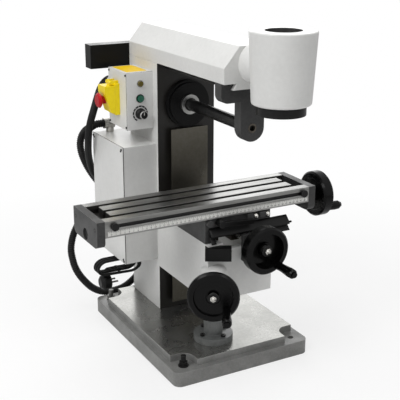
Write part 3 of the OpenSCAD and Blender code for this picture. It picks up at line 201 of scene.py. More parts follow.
def verts_of(grown):
    """The vertices among what an operator made."""
    return [part for part in grown if isinstance(part, bmesh.types.BMVert)]


def outer_edges(grown):
    """The edges among the vertices that an extrusion made, without those that lead back to its start."""
    fresh = set(verts_of(grown))
    return [part for part in grown if isinstance(part, bmesh.types.BMEdge) and fresh.issuperset(part.verts)]


def upright_along(direction):
    """The turn that stands a shape made along Z on this direction."""
    return Vector(UP).rotation_difference(Vector(direction)).to_matrix().to_4x4()


def tube(name, line, radius_at, sides, body):
    """A closed tube on this line, whose radius at ring i is radius_at(i)."""
    bm = bmesh.new()
    faces_along = (line[1] - line[0]).normalized()
    bmesh.ops.create_circle(bm, cap_ends=True, radius=radius_at(0), segments=sides,
                            matrix=Matrix.Translation(line[0]) @ upright_along(faces_along))
    rim = bm.edges[:]
    for i in range(1, len(line)):
        grown = bmesh.ops.extrude_edge_only(bm, edges=rim)["geom"]
        ring, rim = verts_of(grown), outer_edges(grown)
        ahead = (line[min(i + 1, len(line) - 1)] - line[i - 1]).normalized()
        bmesh.ops.translate(bm, verts=ring, vec=line[i] - line[i - 1])
        bmesh.ops.rotate(
            bm, verts=ring, cent=line[i], matrix=faces_along.rotation_difference(ahead).to_matrix())
        growth = radius_at(i) / radius_at(i - 1)
        bmesh.ops.scale(bm, verts=ring, vec=(growth,) * 3, space=Matrix.Translation(-line[i]))
        faces_along = ahead
    bmesh.ops.contextual_create(bm, geom=rim)
    bmesh.ops.recalc_face_normals(bm, faces=bm.faces)
    return add_piece(name, bm, body, sharp=60)


HOSE_R, HOSE_SIDES, RIB_DEPTH, RINGS_PER_RIB = 9.8 * MM, 18, 1.7 * MM, 4
CONDUIT_R, CONDUIT_SIDES, CONDUIT_STEPS = 9 * MM, 20, 90


def ribbed(i):
    """The radius at ring i of a corrugated hose: a valley, a flank, a crest and a flank to each rib."""
    return HOSE_R - RIB_DEPTH * (0.5 + 0.5 * math.cos(2 * math.pi * i / RINGS_PER_RIB))


def run_hose(node, name, route, steps, radius_at, sides):
    """A stiff hose along its route, with both ends on the machine, which stands for its solid."""
    line = even_steps(smooth_route(route), steps)
    hose = tube(name, line, radius_at, sides, "frame")
    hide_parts(node)
    print(node, len(hose.data.polygons), "faces,", round(line_length(line), 3), "m")
    return hose


hoses = [
    run_hose(node, node + "_ribbed", route, ribs * RINGS_PER_RIB, ribbed, HOSE_SIDES)
    for node, route, ribs in (("upper_hose", UPPER_HOSE, 62), ("lower_hose", LOWER_HOSE, 102))
]
hoses.append(run_hose("conduit", "conduit_sleeve", CONDUIT, CONDUIT_STEPS, lambda i: CONDUIT_R,
                      CONDUIT_SIDES))

# %% [markdown]
# ## The mains lead
# The lead leaves the cabinet's floor through a gland and hangs below it as a hank of long loops, with the
# plug at its end. Each loop is a running-track shape that leans back a little, and the loops step back by
# more than the lead's thickness, so that none of them lies in its neighbour.

# %% Wind the hank of mains lead
LEAD_R, LEAD_SIDES, LEAD_RINGS, LEAD_CURVE_STEPS = 3.5 * MM, 12, 320, 900
LEAD_EXIT = mm(-106, 108, 187)
HANK_X, HANK_Y, HANK_Z = -158, 108, 160
HANK_REACH, HANK_BEND, HANK_LEAN = 52, 20, math.radians(23)
HANK_START, HANK_PITCH = 14, 9.5
LOOP_POINTS, HANK_POINTS = 24, 79


def ramp(k, start, steps):
    """0 up to start, and then rising to 1 in this many steps."""
    return max(0, min(1, (k - start) / steps))


def hank_point(i):
    """Point i of the hank. A loop is half a bend, a straight run, a bend, a run back and half a bend."""
    k = i % LOOP_POINTS
    turn = math.radians(90 * ramp(k, 0, 4) + 180 * ramp(k, 8, 8) + 90 * ramp(k, 20, 4))
    run = (HANK_REACH - HANK_BEND) * (1 - 2 * ramp(k, 4, 4) + 2 * ramp(k, 16, 4))
    drop = HANK_BEND * math.sin(turn)
    back = HANK_START * ramp(i, 0, 16) + HANK_PITCH * i / LOOP_POINTS
    return mm(HANK_X + run + HANK_BEND * math.cos(turn),
              HANK_Y + back + drop * math.sin(HANK_LEAN),
              HANK_Z - drop * math.cos(HANK_LEAN))


out_of_gland = [LEAD_EXIT - mm(0, 0, drop) for drop in (14, 17.5)]
hank = [hank_point(i) for i in range(HANK_POINTS)]
plug_top = hank[-1] - mm(22, 0, 16)
into_plug = [hank[-1] - mm(10, 0, 0.5), hank[-1] - mm(17, 0, 4), plug_top + mm(0, 0, 6), plug_top]
lead_stops = out_of_gland + hank + into_plug
lead_curve = [curve_point(lead_stops, i / LEAD_CURVE_STEPS) for i in range(LEAD_CURVE_STEPS + 1)]
lead_line = even_steps(lead_curve, LEAD_RINGS)
lead = tube("mains_lead_cord", lead_line, lambda i: LEAD_R, LEAD_SIDES, "frame")
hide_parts("mains_lead")
print("lead", round(line_length(lead_line), 3), "m, plug at", whole_mm(plug_top), "mm")

# %% [markdown]
# A lead is never led out of a housing bare: a tapered rubber boot spreads the bend. Both boots ride the
# lead's own line, one from the gland and one from the plug, and thin out along it in soft steps.

# %% Slip a tapered boot over both ends of the lead
BOOT_RINGS, BOOT_SIDES = 9, 14
BOOT_ROOT, BOOT_TAPER, BOOT_PINCH = 6.2, 1.9, 0.45


def boot(name, line):
    """A sleeve on a stretch of the lead, from a wide root to a thin tip, with every third ring pinched."""
    def girth(i):
        pinch = BOOT_PINCH if i % 3 == 2 else 0
        return (BOOT_ROOT - BOOT_TAPER * i / (len(line) - 1) - pinch) * MM
    return tube(name, line, girth, BOOT_SIDES, "frame")


boots = [
    boot("lead_boot_gland", lead_line[:BOOT_RINGS]),
    boot("lead_boot_plug", lead_line[::-1][:BOOT_RINGS]),
]
print("boots", round(line_length(lead_line[:BOOT_RINGS]) / MM, 1), "mm long")

# %% [markdown]
# The loops of the hank are held by a tie. It is a round band pulled out into a flat one: half a circle
# moves one way, the rim is extruded along the lead, and the wall gets its thickness.

# %% Tie the hank
TIE_R, TIE_WIDTH, TIE_WALL, TIE_SIDES, TIE_ALONG = 4.4, 5, 1.2, 28, 8
FIRST_TIED, LAST_TIED = 30, 78
tie_from, tie_to = hank_point(FIRST_TIED), hank_point(LAST_TIED)
bm = bmesh.new()
bmesh.ops.create_circle(bm, radius=TIE_R * MM, segments=TIE_SIDES,
                        matrix=Matrix.Rotation(math.pi / 2, 4, "Y"))
near = [vert for vert in bm.verts if vert.co.y < 0]
bmesh.ops.translate(bm, verts=near, vec=(0, tie_from.y - tie_to.y, 0))
band = bmesh.ops.extrude_edge_only(bm, edges=bm.edges[:])["geom"]
bmesh.ops.translate(bm, verts=verts_of(band), vec=mm(TIE_WIDTH, 0, 0))
bmesh.ops.translate(bm, verts=bm.verts, vec=tie_to + mm(TIE_ALONG, 0, 0))
bmesh.ops.recalc_face_normals(bm, faces=bm.faces)
bmesh.ops.solidify(bm, geom=bm.faces[:], thickness=TIE_WALL * MM)
lead_tie = add_piece("lead_tie", bm, "frame")
print("tie round", round((tie_to.y - tie_from.y) / MM + 2 * TIE_R, 1), "mm of lead")

# %% [markdown]
# ## The way cover
# A strip of black rubber sheet hangs from the saddle's front edge and keeps chips off the ways. It is
# folded once, with a stiff rod in the fold, and its lower leaf is cut away where the knee's rails pass.
# Cloth simulation suits limp fabric, but this rubber is stiff and short, so its folded edge is drawn as a
# line, extruded along the saddle in small steps and given a slight wave.

# %% Fold the rubber sheet and slide a rod into its fold
COVER_EDGE = [
    (0.5, 37.0), (-4.0, 32.8), (-8.4, 28.6), (-12.4, 24.8), (-15.0, 21.6), (-14.7, 19.2), (-11.6, 18.2),
    (-8.0, 18.6), (-5.2, 20.0), (-4.5, 18.8), (-6.8, 15.2), (-10.4, 10.6), (-13.8, 6.8), (-16.8, 4.4),
]
COVER_X, COVER_Y, COVER_Z = -76, -192.5, 309
COVER_WIDTH, COVER_STEPS, COVER_WALL = 204, 34, 1.8
RAILS_FROM, RAILS_TO, RAILS_TOP = -64, 68, 327
WAVE_TOP, WAVE_FALL, WAVE_DEPTH, WAVE_LENGTH, WAVE_SET_BACK = 345, 40, 0.55, 15, 0.3
ROD_X, ROD_Y, ROD_Z = -72, -203.6, 331.4
ROD_LENGTH, ROD_STEPS, ROD_R, ROD_SIDES, ROD_SWAY = 207, 40, 2.5, 14, 0.25

bm = bmesh.new()
edge = [bm.verts.new(mm(COVER_X, COVER_Y + y, COVER_Z + z)) for y, z in COVER_EDGE]
leaf = [bm.edges.new(pair) for pair in zip(edge, edge[1:])]
for _ in range(COVER_STEPS):
    grown = bmesh.ops.extrude_edge_only(bm, edges=leaf)["geom"]
    leaf = outer_edges(grown)
    bmesh.ops.translate(bm, verts=verts_of(grown), vec=mm(COVER_WIDTH / COVER_STEPS, 0, 0))
over_rails = [face for face in bm.faces
              if RAILS_FROM < face.calc_center_median().x / MM < RAILS_TO
              and face.calc_center_median().z / MM < RAILS_TOP]
bmesh.ops.delete(bm, geom=over_rails, context="FACES")
for vert in bm.verts:
    slack = max(0, WAVE_TOP * MM - vert.co.z) / (WAVE_FALL * MM)
    wave = WAVE_DEPTH * math.sin(vert.co.x / (WAVE_LENGTH * MM))
    vert.co.y += slack * (wave + WAVE_SET_BACK) * MM
cover_area = sum(face.calc_area() for face in bm.faces)
way_cover = add_piece("way_cover_sheet", bm, "saddle")
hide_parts("way_cover")
wall = way_cover.modifiers.new("rubber wall", "SOLIDIFY")
wall.thickness = COVER_WALL * MM
wall.offset = 0
rod_line = [mm(ROD_X + ROD_LENGTH * i / ROD_STEPS, ROD_Y + ROD_SWAY * math.sin(i / 3), ROD_Z)
            for i in range(ROD_STEPS + 1)]
cover_rod = tube("way_cover_rod", rod_line, lambda i: ROD_R * MM, ROD_SIDES, "saddle")
print("way cover", round(cover_area / MM**2), "mm2 of rubber sheet")

# %% [markdown]
# ## Rounded edges
# No casting or folded sheet has a knife edge, and the thin highlight along a rounded edge is what makes
# paint look like paint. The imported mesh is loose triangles, so a copy is merged, its flat faces are made
# whole again, and every sharp edge is bevelled. The copy then stands for the solid.

# %% Round the edges of castings and boxes
ROUNDED = {
    "base": 3.5, "column": 1.0, "overarm": 1.5, "knee": 1.4, "saddle": 0.9, "arbor_bracket": 1.4,
    "table": 0.5, "table_ends": 1.0, "cabinet": 0.8, "cabinet_cover": 0.5, "control_box": 0.8,
    "control_panel": 0.4, "rear_cover": 0.5, "lift_pedestal": 0.8, "switch_base": 0.7, "gear_cover": 0.8,
    "column_back_plate": 0.6, "cross_bracket": 0.6,
}
SHARP_ANGLE, FLAT_ANGLE, MERGE_WITHIN, NORMAL_WEIGHT = 32, 0.5, 0.002, 60
shown = dict(solids)


def round_edges(node, width):
    """A copy of a solid with its sharp edges bevelled by width, in mm."""
    bm = bmesh.new()
    bm.from_mesh(solids[node].data)
    bmesh.ops.remove_doubles(bm, verts=bm.verts, dist=MERGE_WITHIN * MM)
    bmesh.ops.dissolve_limit(bm, angle_limit=math.radians(FLAT_ANGLE), verts=bm.verts, edges=bm.edges)
    sharp = [e for e in bm.edges if e.is_manifold and e.calc_face_angle(0) > math.radians(SHARP_ANGLE)]
    bmesh.ops.bevel(bm, geom=sharp, offset=width * MM, offset_type="OFFSET", segments=2, profile=0.5,
                    affect="EDGES", material=-1, clamp_overlap=True, loop_slide=True)
    body = next(name for name, empty in frame["bodies"].items() if empty == solids[node].parent)
    piece = add_piece(node + "_rounded", bm, body, sharp=SHARP_ANGLE)
    even = piece.modifiers.new("even shading", "WEIGHTED_NORMAL")
    even.keep_sharp = True
    even.weight = NORMAL_WEIGHT
    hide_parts(node)
    return piece


for node, width in ROUNDED.items():
    shown[node] = round_edges(node, width)
    print(node, "rounded by", width, "mm:", len(shown[node].data.polygons), "faces")

# %% [markdown]
# ## Turned parts
# Screws, collars, caps and cups are all turned on a lathe, and spin is bmesh's lathe: an outline of
# radius and height goes round an axis in steps. One helper makes them all, and can add a hexagon socket
# or flutes by moving the rings that the spin left.

# %% Turn an outline round an axis
SAME_POINT, SAME_RADIUS, FLUTE_DEPTH = 0.004, 0.01, 0.045


def placed(at, turn):
    """The matrix that turns a shape and then sets it at a point, in mm."""
    return Matrix.Translation(mm(*at)) @ turn


def turn_outline(bm, outline, at, along, steps, hexagon=None, flutes=None):
    """Spins (radius, height) pairs, in mm, into a closed shape that stands at a point along a direction.

    The ring of radius hexagon is pulled to six flats. flutes is their number, the heights between which
    they run and the least radius that they cut.
    """
    verts = [bm.verts.new(mm(radius, 0, height)) for radius, height in outline]
    edges = [bm.edges.new(pair) for pair in zip(verts, verts[1:])]
    before = set(bm.verts) - set(verts)
    bmesh.ops.spin(bm, geom=verts + edges, cent=(0, 0, 0), axis=UP, angle=2 * math.pi,
                   steps=steps, use_merge=True, use_duplicate=False)
    spun = [vert for vert in bm.verts if vert not in before]
    bmesh.ops.remove_doubles(bm, verts=spun, dist=SAME_POINT * MM)
    made = [vert for vert in bm.verts if vert not in before]
    for vert in made:
        angle, radius = math.atan2(vert.co.y, vert.co.x), math.hypot(vert.co.x, vert.co.y)
        if hexagon and abs(radius - hexagon * MM) < SAME_RADIUS * MM:
            off_flat = (angle % (math.pi / 3)) - math.pi / 6
            vert.co.xy = vert.co.xy * math.cos(math.pi / 6) / math.cos(off_flat)
        if flutes:
            count, low, high, least = flutes
            if low * MM < vert.co.z < high * MM and radius > least * MM:
                vert.co.xy = vert.co.xy * (1 - FLUTE_DEPTH * (0.5 + 0.5 * math.cos(count * angle)))
    bmesh.ops.transform(bm, matrix=placed(at, upright_along(along)), verts=made)
    bmesh.ops.recalc_face_normals(bm, faces=list({face for vert in made for face in vert.link_faces}))


def lathe(name, body, slot, outline, places, steps=24, sharp=35, **cut):
    """A piece with its outline turned at every place, each of which is a point and a direction."""
    bm = bmesh.new()
    for at, along in places:
        turn_outline(bm, outline, at, along, steps, **cut)
    return add_piece(name, bm, body, sharp)


SOCKET_SHARE, SOCKET_FLOOR, HEAD_CHAMFER = 0.55, 0.35, (0.6, 0.7)


def screws(name, places, radius, height):
    """The frame's cap screws at these places, each with a socket sunk in its head."""
    inward, down = HEAD_CHAMFER
    socket, floor = radius * SOCKET_SHARE, height * SOCKET_FLOOR
    head = [(0, -1), (radius, -1), (radius, height - down), (radius - inward, height), (socket, height),
            (socket, floor), (0, floor)]
    print(name, len(places), "screws")
    return lathe(name, "frame", "black_steel", head, places, sharp=30, hexagon=socket)


LEFT, RIGHT, FRONT, BACK = (-1, 0, 0), (1, 0, 0), (0, -1, 0), (0, 1, 0)
BACK_PLATE_Y, CABINET_COVER_X = 209.5, -164.5
back_screws = screws(
    "back_plate_screws",
    [((x, BACK_PLATE_Y, z), BACK) for x in (-62, 62) for z in (74, 250, 440, 624)], radius=3.6, height=2.4)
cover_screws = screws(
    "cabinet_cover_screws",
    [((CABINET_COVER_X, y, z), LEFT) for y in (71, 233) for z in (197, 470)], radius=2.6, height=1.4)

# %% [markdown]
# ## Small fittings of the saddle and the knee
# Between the saddle's clamp blocks sit bright cap nuts, and the round turret of the knee carries an oil
# cup. All of them are outlines for the same lathe.

# %% Turn the cap nuts and the oil cup
CAP_NUT = [(0, -2), (7.5, -2), (7.5, 3), (6.8, 4), (6.2, 6.5), (4.6, 9), (2.4, 10.2), (0, 10.6)]
OIL_CUP = [(0, -6), (5, -6), (5, 2), (6.4, 2.6), (6.4, 5.2), (5.6, 6.2), (3.4, 7.6), (0, 8.2)]
SADDLE_FRONT, CAP_NUT_Z = -192.5, 358
CUP_X, CUP_Y, CUP_SEAT_R = -65, -197.5, 9
saddle_nuts = lathe("saddle_cap_nuts", "saddle", "nickel", CAP_NUT,
                    [((x, SADDLE_FRONT, CAP_NUT_Z), FRONT) for x in (43, 74)])
dome = max(vert.co.z for vert in solids["knee"].data.vertices
           if math.hypot(vert.co.x / MM - CUP_X, vert.co.y / MM - CUP_Y) < CUP_SEAT_R) / MM
oil_cup = lathe("knee_oil_cup", "knee", "nickel", OIL_CUP, [((CUP_X, CUP_Y, dome), UP)])
print("oil cup on the dome at", round(dome, 1), "mm")

# %% [markdown]
# Every handwheel is held on its shaft by a bright hexagon nut on a black washer. Washer and nut are
# outlines for the lathe too, and the nut's rings are pulled out to six flats.

# %% Put a washer and a nut on every wheel
WASHER = [(0, -1), (12.5, -1), (12.5, 0.8), (11.6, 1.6), (0, 1.6)]
NUT_R = 7.4
HUB_NUT = [(0, 1.4), (NUT_R, 1.4), (NUT_R, 5.6), (4.2, 6.4), (3.6, 7.6), (2.8, 8.2), (0, 8.2)]
HUBS = {
    "lift_wheel": ((-94.8, -249.0, 207), (-0.5, -0.866, 0)),
    "cross_wheel": ((29, -267.5, 300.5), FRONT),
    "feed_wheel": ((263.5, -133, 361.5), RIGHT),
}
hub_washers, hub_nuts = [], []
for wheel, hub in HUBS.items():
    hub_washers.append(lathe(wheel + "_washer", wheel, "black_steel", WASHER, [hub], 32))
    hub_nuts.append(lathe(wheel + "_nut", wheel, "nickel", HUB_NUT, [hub], sharp=30, hexagon=NUT_R))
print(len(hub_nuts), "wheels fastened")

# %% [markdown]
# The cabinet's door and the control panel close on a rubber seal, which shows as a dark line between
# the sheets. A grid of one face is inset to a frame, its middle is taken out and the frame is extruded.

# %% Lay a seal behind the door and the panel
SEAL_RIM = 5
FACING_FRONT = Matrix.Rotation(math.pi / 2, 4, "X")
FACING_LEFT = Matrix.Rotation(math.pi / 2, 4, "Z") @ FACING_FRONT


def rectangle(bm, width, height, columns=1, rows=1):
    """A flat grid of this size, in mm, round the origin."""
    return bmesh.ops.create_grid(bm, x_segments=columns, y_segments=rows, size=0.5,
                                 matrix=Matrix.Diagonal((width * MM, height * MM, 1, 1)))["verts"]


def thicken(bm, height):
    """Lifts a flat sheet's faces by height, in mm, and closes the sides."""
    lifted = bmesh.ops.extrude_face_region(bm, geom=bm.faces[:])["geom"]
    bmesh.ops.translate(bm, verts=verts_of(lifted), vec=mm(0, 0, height))


def seal(name, width, height, thickness, centre, facing):
    """A frame of rubber, as wide and high as its sheet, round a centre."""
    bm = bmesh.new()
    rectangle(bm, width, height)
    bmesh.ops.inset_region(bm, faces=bm.faces[:], thickness=SEAL_RIM * MM, use_boundary=True)
    middle = min(bm.faces, key=lambda face: face.calc_center_median().length)
    bmesh.ops.delete(bm, geom=[middle], context="FACES")
    thicken(bm, thickness)
    bmesh.ops.transform(bm, matrix=placed(centre, facing), verts=bm.verts)
    bmesh.ops.recalc_face_normals(bm, faces=bm.faces)
    return add_piece(name, bm, "frame")


door_seal = seal("cabinet_door_seal", 182.8, 293.8, 1.4, (-163.3, 152, 333.5), FACING_LEFT)
panel_seal = seal("control_panel_seal", 67.8, 135.8, 1.2, (-109.5, 79.1, 583), FACING_FRONT)
print("seals", whole_mm(door_seal.dimensions), whole_mm(panel_seal.dimensions), "mm")

# %% [markdown]
# ## The control panel
# The panel carries an amber lamp, a green button in a dark collar and a black speed knob. The knob has a
# fluted grip and a white pointer, and a ring of dashes printed round it shows how far it is turned. The
# dashes are thin tiles: one is made from a grid, bent round the knob's centre and copied by turning.

# %% Turn the collar, the fluted knob and its ring of dashes
PANEL_X, PANEL_Y, LAMP_Z, BUTTON_Z, KNOB_Z = -109.5, 76.5, 624.5, 589.5, 553.5
COLLAR = [(8.3, -0.5), (9.9, -0.5), (9.9, 2.2), (9.4, 3), (8.8, 3), (8.3, 2.2), (8.3, -0.5)]
KNOB = [(0, 0.3), (13, 0.3), (13, 3.4), (12.2, 6.2), (10.6, 8.2), (10, 9.6), (10, 14), (10, 18),
        (9.8, 21.4), (9, 22.8), (8, 23), (7.4, 22.4), (0, 22.4)]
KNOB_FLUTES = (18, 9, 22.9, 8.8)
POINTER_WIDTH, POINTER_LENGTH, POINTER_OUT, POINTER_UP = 1.5, 7.4, 22.6, 3.5
DASHES, DASH_LENGTH, DASH_WIDTH, DASH_R, DASH_OUT = 10, 7.4, 3.6, 17.6, 0.25
FIRST_DASH, DASH_STEP = 140, 28

button_collar = lathe("start_button_collar", "frame", "black_plastic", COLLAR,
                      [((PANEL_X, PANEL_Y, BUTTON_Z), FRONT)], 32)
knob = lathe("speed_knob_fluted", "speed_knob", slot_of["speed_knob"], KNOB,
             [((PANEL_X, PANEL_Y, KNOB_Z), FRONT)], 72, sharp=40, flutes=KNOB_FLUTES)
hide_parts("speed_knob")

bm = bmesh.new()
pointer = rectangle(bm, POINTER_WIDTH, POINTER_LENGTH, 2, 4)
pointer_at = placed((PANEL_X, PANEL_Y - POINTER_OUT, KNOB_Z + POINTER_UP), FACING_FRONT)
bmesh.ops.transform(bm, verts=pointer, matrix=pointer_at)
knob_pointer = add_piece("speed_knob_pointer", bm, "speed_knob")

bm = bmesh.new()
dial_at = placed((PANEL_X, PANEL_Y - DASH_OUT, KNOB_Z), FACING_FRONT)
for step in range(DASHES):
    dash = rectangle(bm, DASH_LENGTH, DASH_WIDTH, 4, 1)
    for vert in dash:
        bend, out = vert.co.x / (DASH_R * MM), vert.co.y + DASH_R * MM
        vert.co.x = out * math.sin(bend)
        vert.co.y = out * math.cos(bend)
    turned_to = Matrix.Rotation(math.radians(FIRST_DASH - DASH_STEP * step), 4, "Z")
    bmesh.ops.transform(bm, verts=dash, matrix=dial_at @ turned_to)
dial_dashes = add_piece("speed_dial_dashes", bm, "frame")
print("knob", len(knob.data.polygons), "faces, ring of", DASHES, "dashes")

# %% [markdown]
# A blank yellow plate is stuck on the control box's roof. A grid is cut to its outline, its corners are
# rounded by a vertex bevel and it gets its thickness by an extrusion.

# %% Lay the yellow plate on the control box
PLATE_WIDTH, PLATE_DEPTH, PLATE_CORNER, PLATE_THICK = 52, 84, 4, 0.7
PLATE_AT = (-109.5, 134, 650.4)
bm = bmesh.new()
corners = rectangle(bm, PLATE_WIDTH, PLATE_DEPTH)
bmesh.ops.bevel(bm, geom=corners, offset=PLATE_CORNER * MM, offset_type="OFFSET", segments=5, profile=0.5,
                affect="VERTICES", material=-1)
thicken(bm, PLATE_THICK)
bmesh.ops.translate(bm, verts=bm.verts, vec=mm(*PLATE_AT))
bmesh.ops.recalc_face_normals(bm, faces=bm.faces)
box_plate = add_piece("control_box_plate", bm, "frame")
print("plate", whole_mm(box_plate.dimensions), "mm")

# %% [markdown]
# ## Numbers on the table's ruler
# The strip along the table's front is a ruler. Its ticks are fine enough to be painted by the
# material, but numbers read best as real shapes: a text is made a mesh and laid on the strip for every
# centimetre.

# %% Set a number at every centimetre
RULER_ZERO, RULER_FACE_Y, NUMBER_Z = -307, -198.92, 373.4
LAST_NUMBER, NUMBER_SIZE, CENTIMETRE = 48, 5.2, 10
letter = bpy.data.curves.new("number", "FONT")
letter.size = NUMBER_SIZE * MM
letter.align_x = "CENTER"
stamp = put_in_scene("number", letter)
bm = bmesh.new()
for number in range(LAST_NUMBER + 1):
    letter.body = str(number)
    bpy.context.view_layer.update()
    mesh = bpy.data.meshes.new_from_object(stamp.evaluated_get(bpy.context.evaluated_depsgraph_get()))
    known = set(bm.verts)
    bm.from_mesh(mesh)
    bpy.data.meshes.remove(mesh)
    here = placed((RULER_ZERO + CENTIMETRE * number, RULER_FACE_Y, NUMBER_Z), FACING_FRONT)
    bmesh.ops.transform(bm, verts=[vert for vert in bm.verts if vert not in known], matrix=here)
bpy.data.objects.remove(stamp)
ruler_numbers = add_piece("ruler_numbers", bm, "table")
print("ruler numbers", len(ruler_numbers.data.polygons), "faces")

# %% [markdown]
# ## Shared effects
# Paint, plastic and steel all need the same few things: a tone that drifts a little, a gloss that hands
# have touched unevenly, a grain, and paler edges, which are partly scuffing and partly a painted
# highlight. Each is a node group with named sockets, built once, and every material sets its own values
# on it. A Mix node has hidden sockets for every kind of value, so two small helpers know the numbers of
# those for values and for colours.

# %% Build the node groups
def add(tree, kind, links=None, **settings):
    """A new node with its settings, and with each input linked to a socket or set to a value."""
    node = tree.nodes.new("ShaderNode" + kind)
    for key, value in settings.items():
        setattr(node, key, value)
    for socket, source in (links or {}).items():
        if isinstance(source, bpy.types.NodeSocket):
            tree.links.new(source, node.inputs[socket])
        else:
            node.inputs[socket].default_value = source
    return node


def maths(tree, operation, *values):
    """The result of a Math node."""
    return add(tree, "Math", dict(enumerate(values)), operation=operation).outputs[0]


def mix_values(tree, share, first, second):
    """From the first value to the second one, as share goes from 0 to 1."""
    return add(tree, "Mix", {0: share, 2: first, 3: second}, data_type="FLOAT").outputs[0]


def mix_colours(tree, share, first, second):
    """From the first colour to the second one, as share goes from 0 to 1."""
    return add(tree, "Mix", {0: share, 6: first, 7: second}, data_type="RGBA").outputs[2]


def remap(tree, value, start, end, low=0.0, high=1.0):
    """From low to high, as a value goes from start to end."""
    return add(tree, "MapRange", {"Value": value, "From Min": start, "From Max": end, "To Min": low,
                                  "To Max": high}).outputs[0]


def effect(name, inputs, outputs):
    """An empty node group with these sockets, and its two ends."""
    tree = bpy.data.node_groups.new(name, "ShaderNodeTree")
    for label, kind, value in inputs:
        socket = tree.interface.new_socket(label, in_out="INPUT", socket_type="NodeSocket" + kind)
        socket.default_value = value
    for label, kind in outputs:
        tree.interface.new_socket(label, in_out="OUTPUT", socket_type="NodeSocket" + kind)
    return tree, tree.nodes.new("NodeGroupInput").outputs, tree.nodes.new("NodeGroupOutput").inputs


PLACE = ("Place", "Vector", (0, 0, 0))
tone_drift, given, result = effect(
    "tone drift",
    [PLACE, ("Pale", "Color", (1, 1, 1, 1)), ("Deep", "Color", (0, 0, 0, 1)),
     ("Patches", "Float", 9), ("Specks", "Float", 120)],
    [("Colour", "Color")])
SPECK_SHARE = 0.35
broad = add(tone_drift, "TexNoise", {"Vector": given["Place"], "Scale": given["Patches"], "Detail": 4})
specks = add(tone_drift, "TexNoise", {"Vector": given["Place"], "Scale": given["Specks"], "Detail": 2})
both = mix_values(tone_drift, SPECK_SHARE, broad.outputs["Fac"], specks.outputs["Fac"])
spread = remap(tone_drift, both, 0.34, 0.66)
tone_drift.links.new(mix_colours(tone_drift, spread, given["Pale"], given["Deep"]), result["Colour"])

hand_gloss, given, result = effect(
    "hand gloss",
    [PLACE, ("Sleek", "Float", 0.3), ("Dull", "Float", 0.5), ("Grain", "Float", 800)],
    [("Roughness", "Float"), ("Height", "Float")])
smudge = add(hand_gloss, "TexNoise", {"Vector": given["Place"], "Scale": 16, "Detail": 4,
                                      "Distortion": 0.4})
gloss = remap(hand_gloss, smudge.outputs["Fac"], 0.32, 0.68, given["Sleek"], given["Dull"])
grain = add(hand_gloss, "TexNoise", {"Vector": given["Place"], "Scale": given["Grain"], "Detail": 3})
hand_gloss.links.new(gloss, result["Roughness"])
hand_gloss.links.new(grain.outputs["Fac"], result["Height"])

# Paler edges along every sharp edge: partly scuffing, partly a painted highlight.
edge_scuff_and_highlight, given, result = effect(
    "edge scuff and painted highlight", [PLACE, ("Width", "Float", 0.002), ("Amount", "Float", 0.5)], [("Mask", "Float")])
soft = add(edge_scuff_and_highlight, "Bevel", {"Radius": given["Width"]}, samples=6)
flat = add(edge_scuff_and_highlight, "NewGeometry")
same = add(edge_scuff_and_highlight, "VectorMath", {0: soft.outputs[0], 1: flat.outputs["Normal"]}, operation="DOT_PRODUCT")
turned = remap(edge_scuff_and_highlight, same.outputs["Value"], 0.995, 0.8)
patchy = add(edge_scuff_and_highlight, "TexNoise", {"Vector": given["Place"], "Scale": 70, "Detail": 3})
patchy_scuff_and_highlight = maths(edge_scuff_and_highlight, "MULTIPLY", turned, patchy.outputs["Fac"])
amount = add(edge_scuff_and_highlight, "Math", {0: patchy_scuff_and_highlight, 1: given["Amount"]}, operation="MULTIPLY", use_clamp=True)
edge_scuff_and_highlight.links.new(amount.outputs[0], result["Mask"])

tick_marks, given, result = effect(
    "tick marks", [("Along", "Float", 0), ("Pitch", "Float", 0.001), ("Ink", "Float", 0.2)],
    [("Mask", "Float")])
past_tick = maths(tick_marks, "FRACT", maths(tick_marks, "DIVIDE", given["Along"], given["Pitch"]))
tick_marks.links.new(maths(tick_marks, "LESS_THAN", past_tick, given["Ink"]), result["Mask"])
print(len(bpy.data.node_groups), "shared effects")

# %% [markdown]
# ## Paint, plastic and steel
# One helper joins the effects to a Principled shader. A colour is written as on a screen and turned to
# the linear value that the shader wants. What is the same all over a surface, such as metal or coat, is
# set on the shader itself.

# %% Mix a finish
came_with_frame = len(bpy.data.materials)
BUMP_HEIGHT, FINE_GRAIN = 0.6, 800
ZONE_PATCHES, ZONE_SPECKS = 14, 150


def screen_colour(code):
    """A hex colour as linear red, green and blue."""
    parts = [int(code[i:i + 2], 16) / 255 for i in (0, 2, 4)]
    return tuple(c / 12.92 if c <= 0.04045 else ((c + 0.055) / 1.055) ** 2.4 for c in parts) + (1.0,)


def toned(tree, place, pale, deep, patches=ZONE_PATCHES, specks=ZONE_SPECKS):
    """A tone that drifts between two colours."""
    tone = {"Place": place, "Pale": screen_colour(pale), "Deep": screen_colour(deep), "Patches": patches,
            "Specks": specks}
    return add(tree, "Group", tone, node_tree=tone_drift).outputs["Colour"]


def touched(tree, place, sleek, dull, grain=FINE_GRAIN):
    """A roughness that hands have made uneven, and the height of a grain."""
    touch = {"Place": place, "Sleek": sleek, "Dull": dull, "Grain": grain}
    return add(tree, "Group", touch, node_tree=hand_gloss).outputs


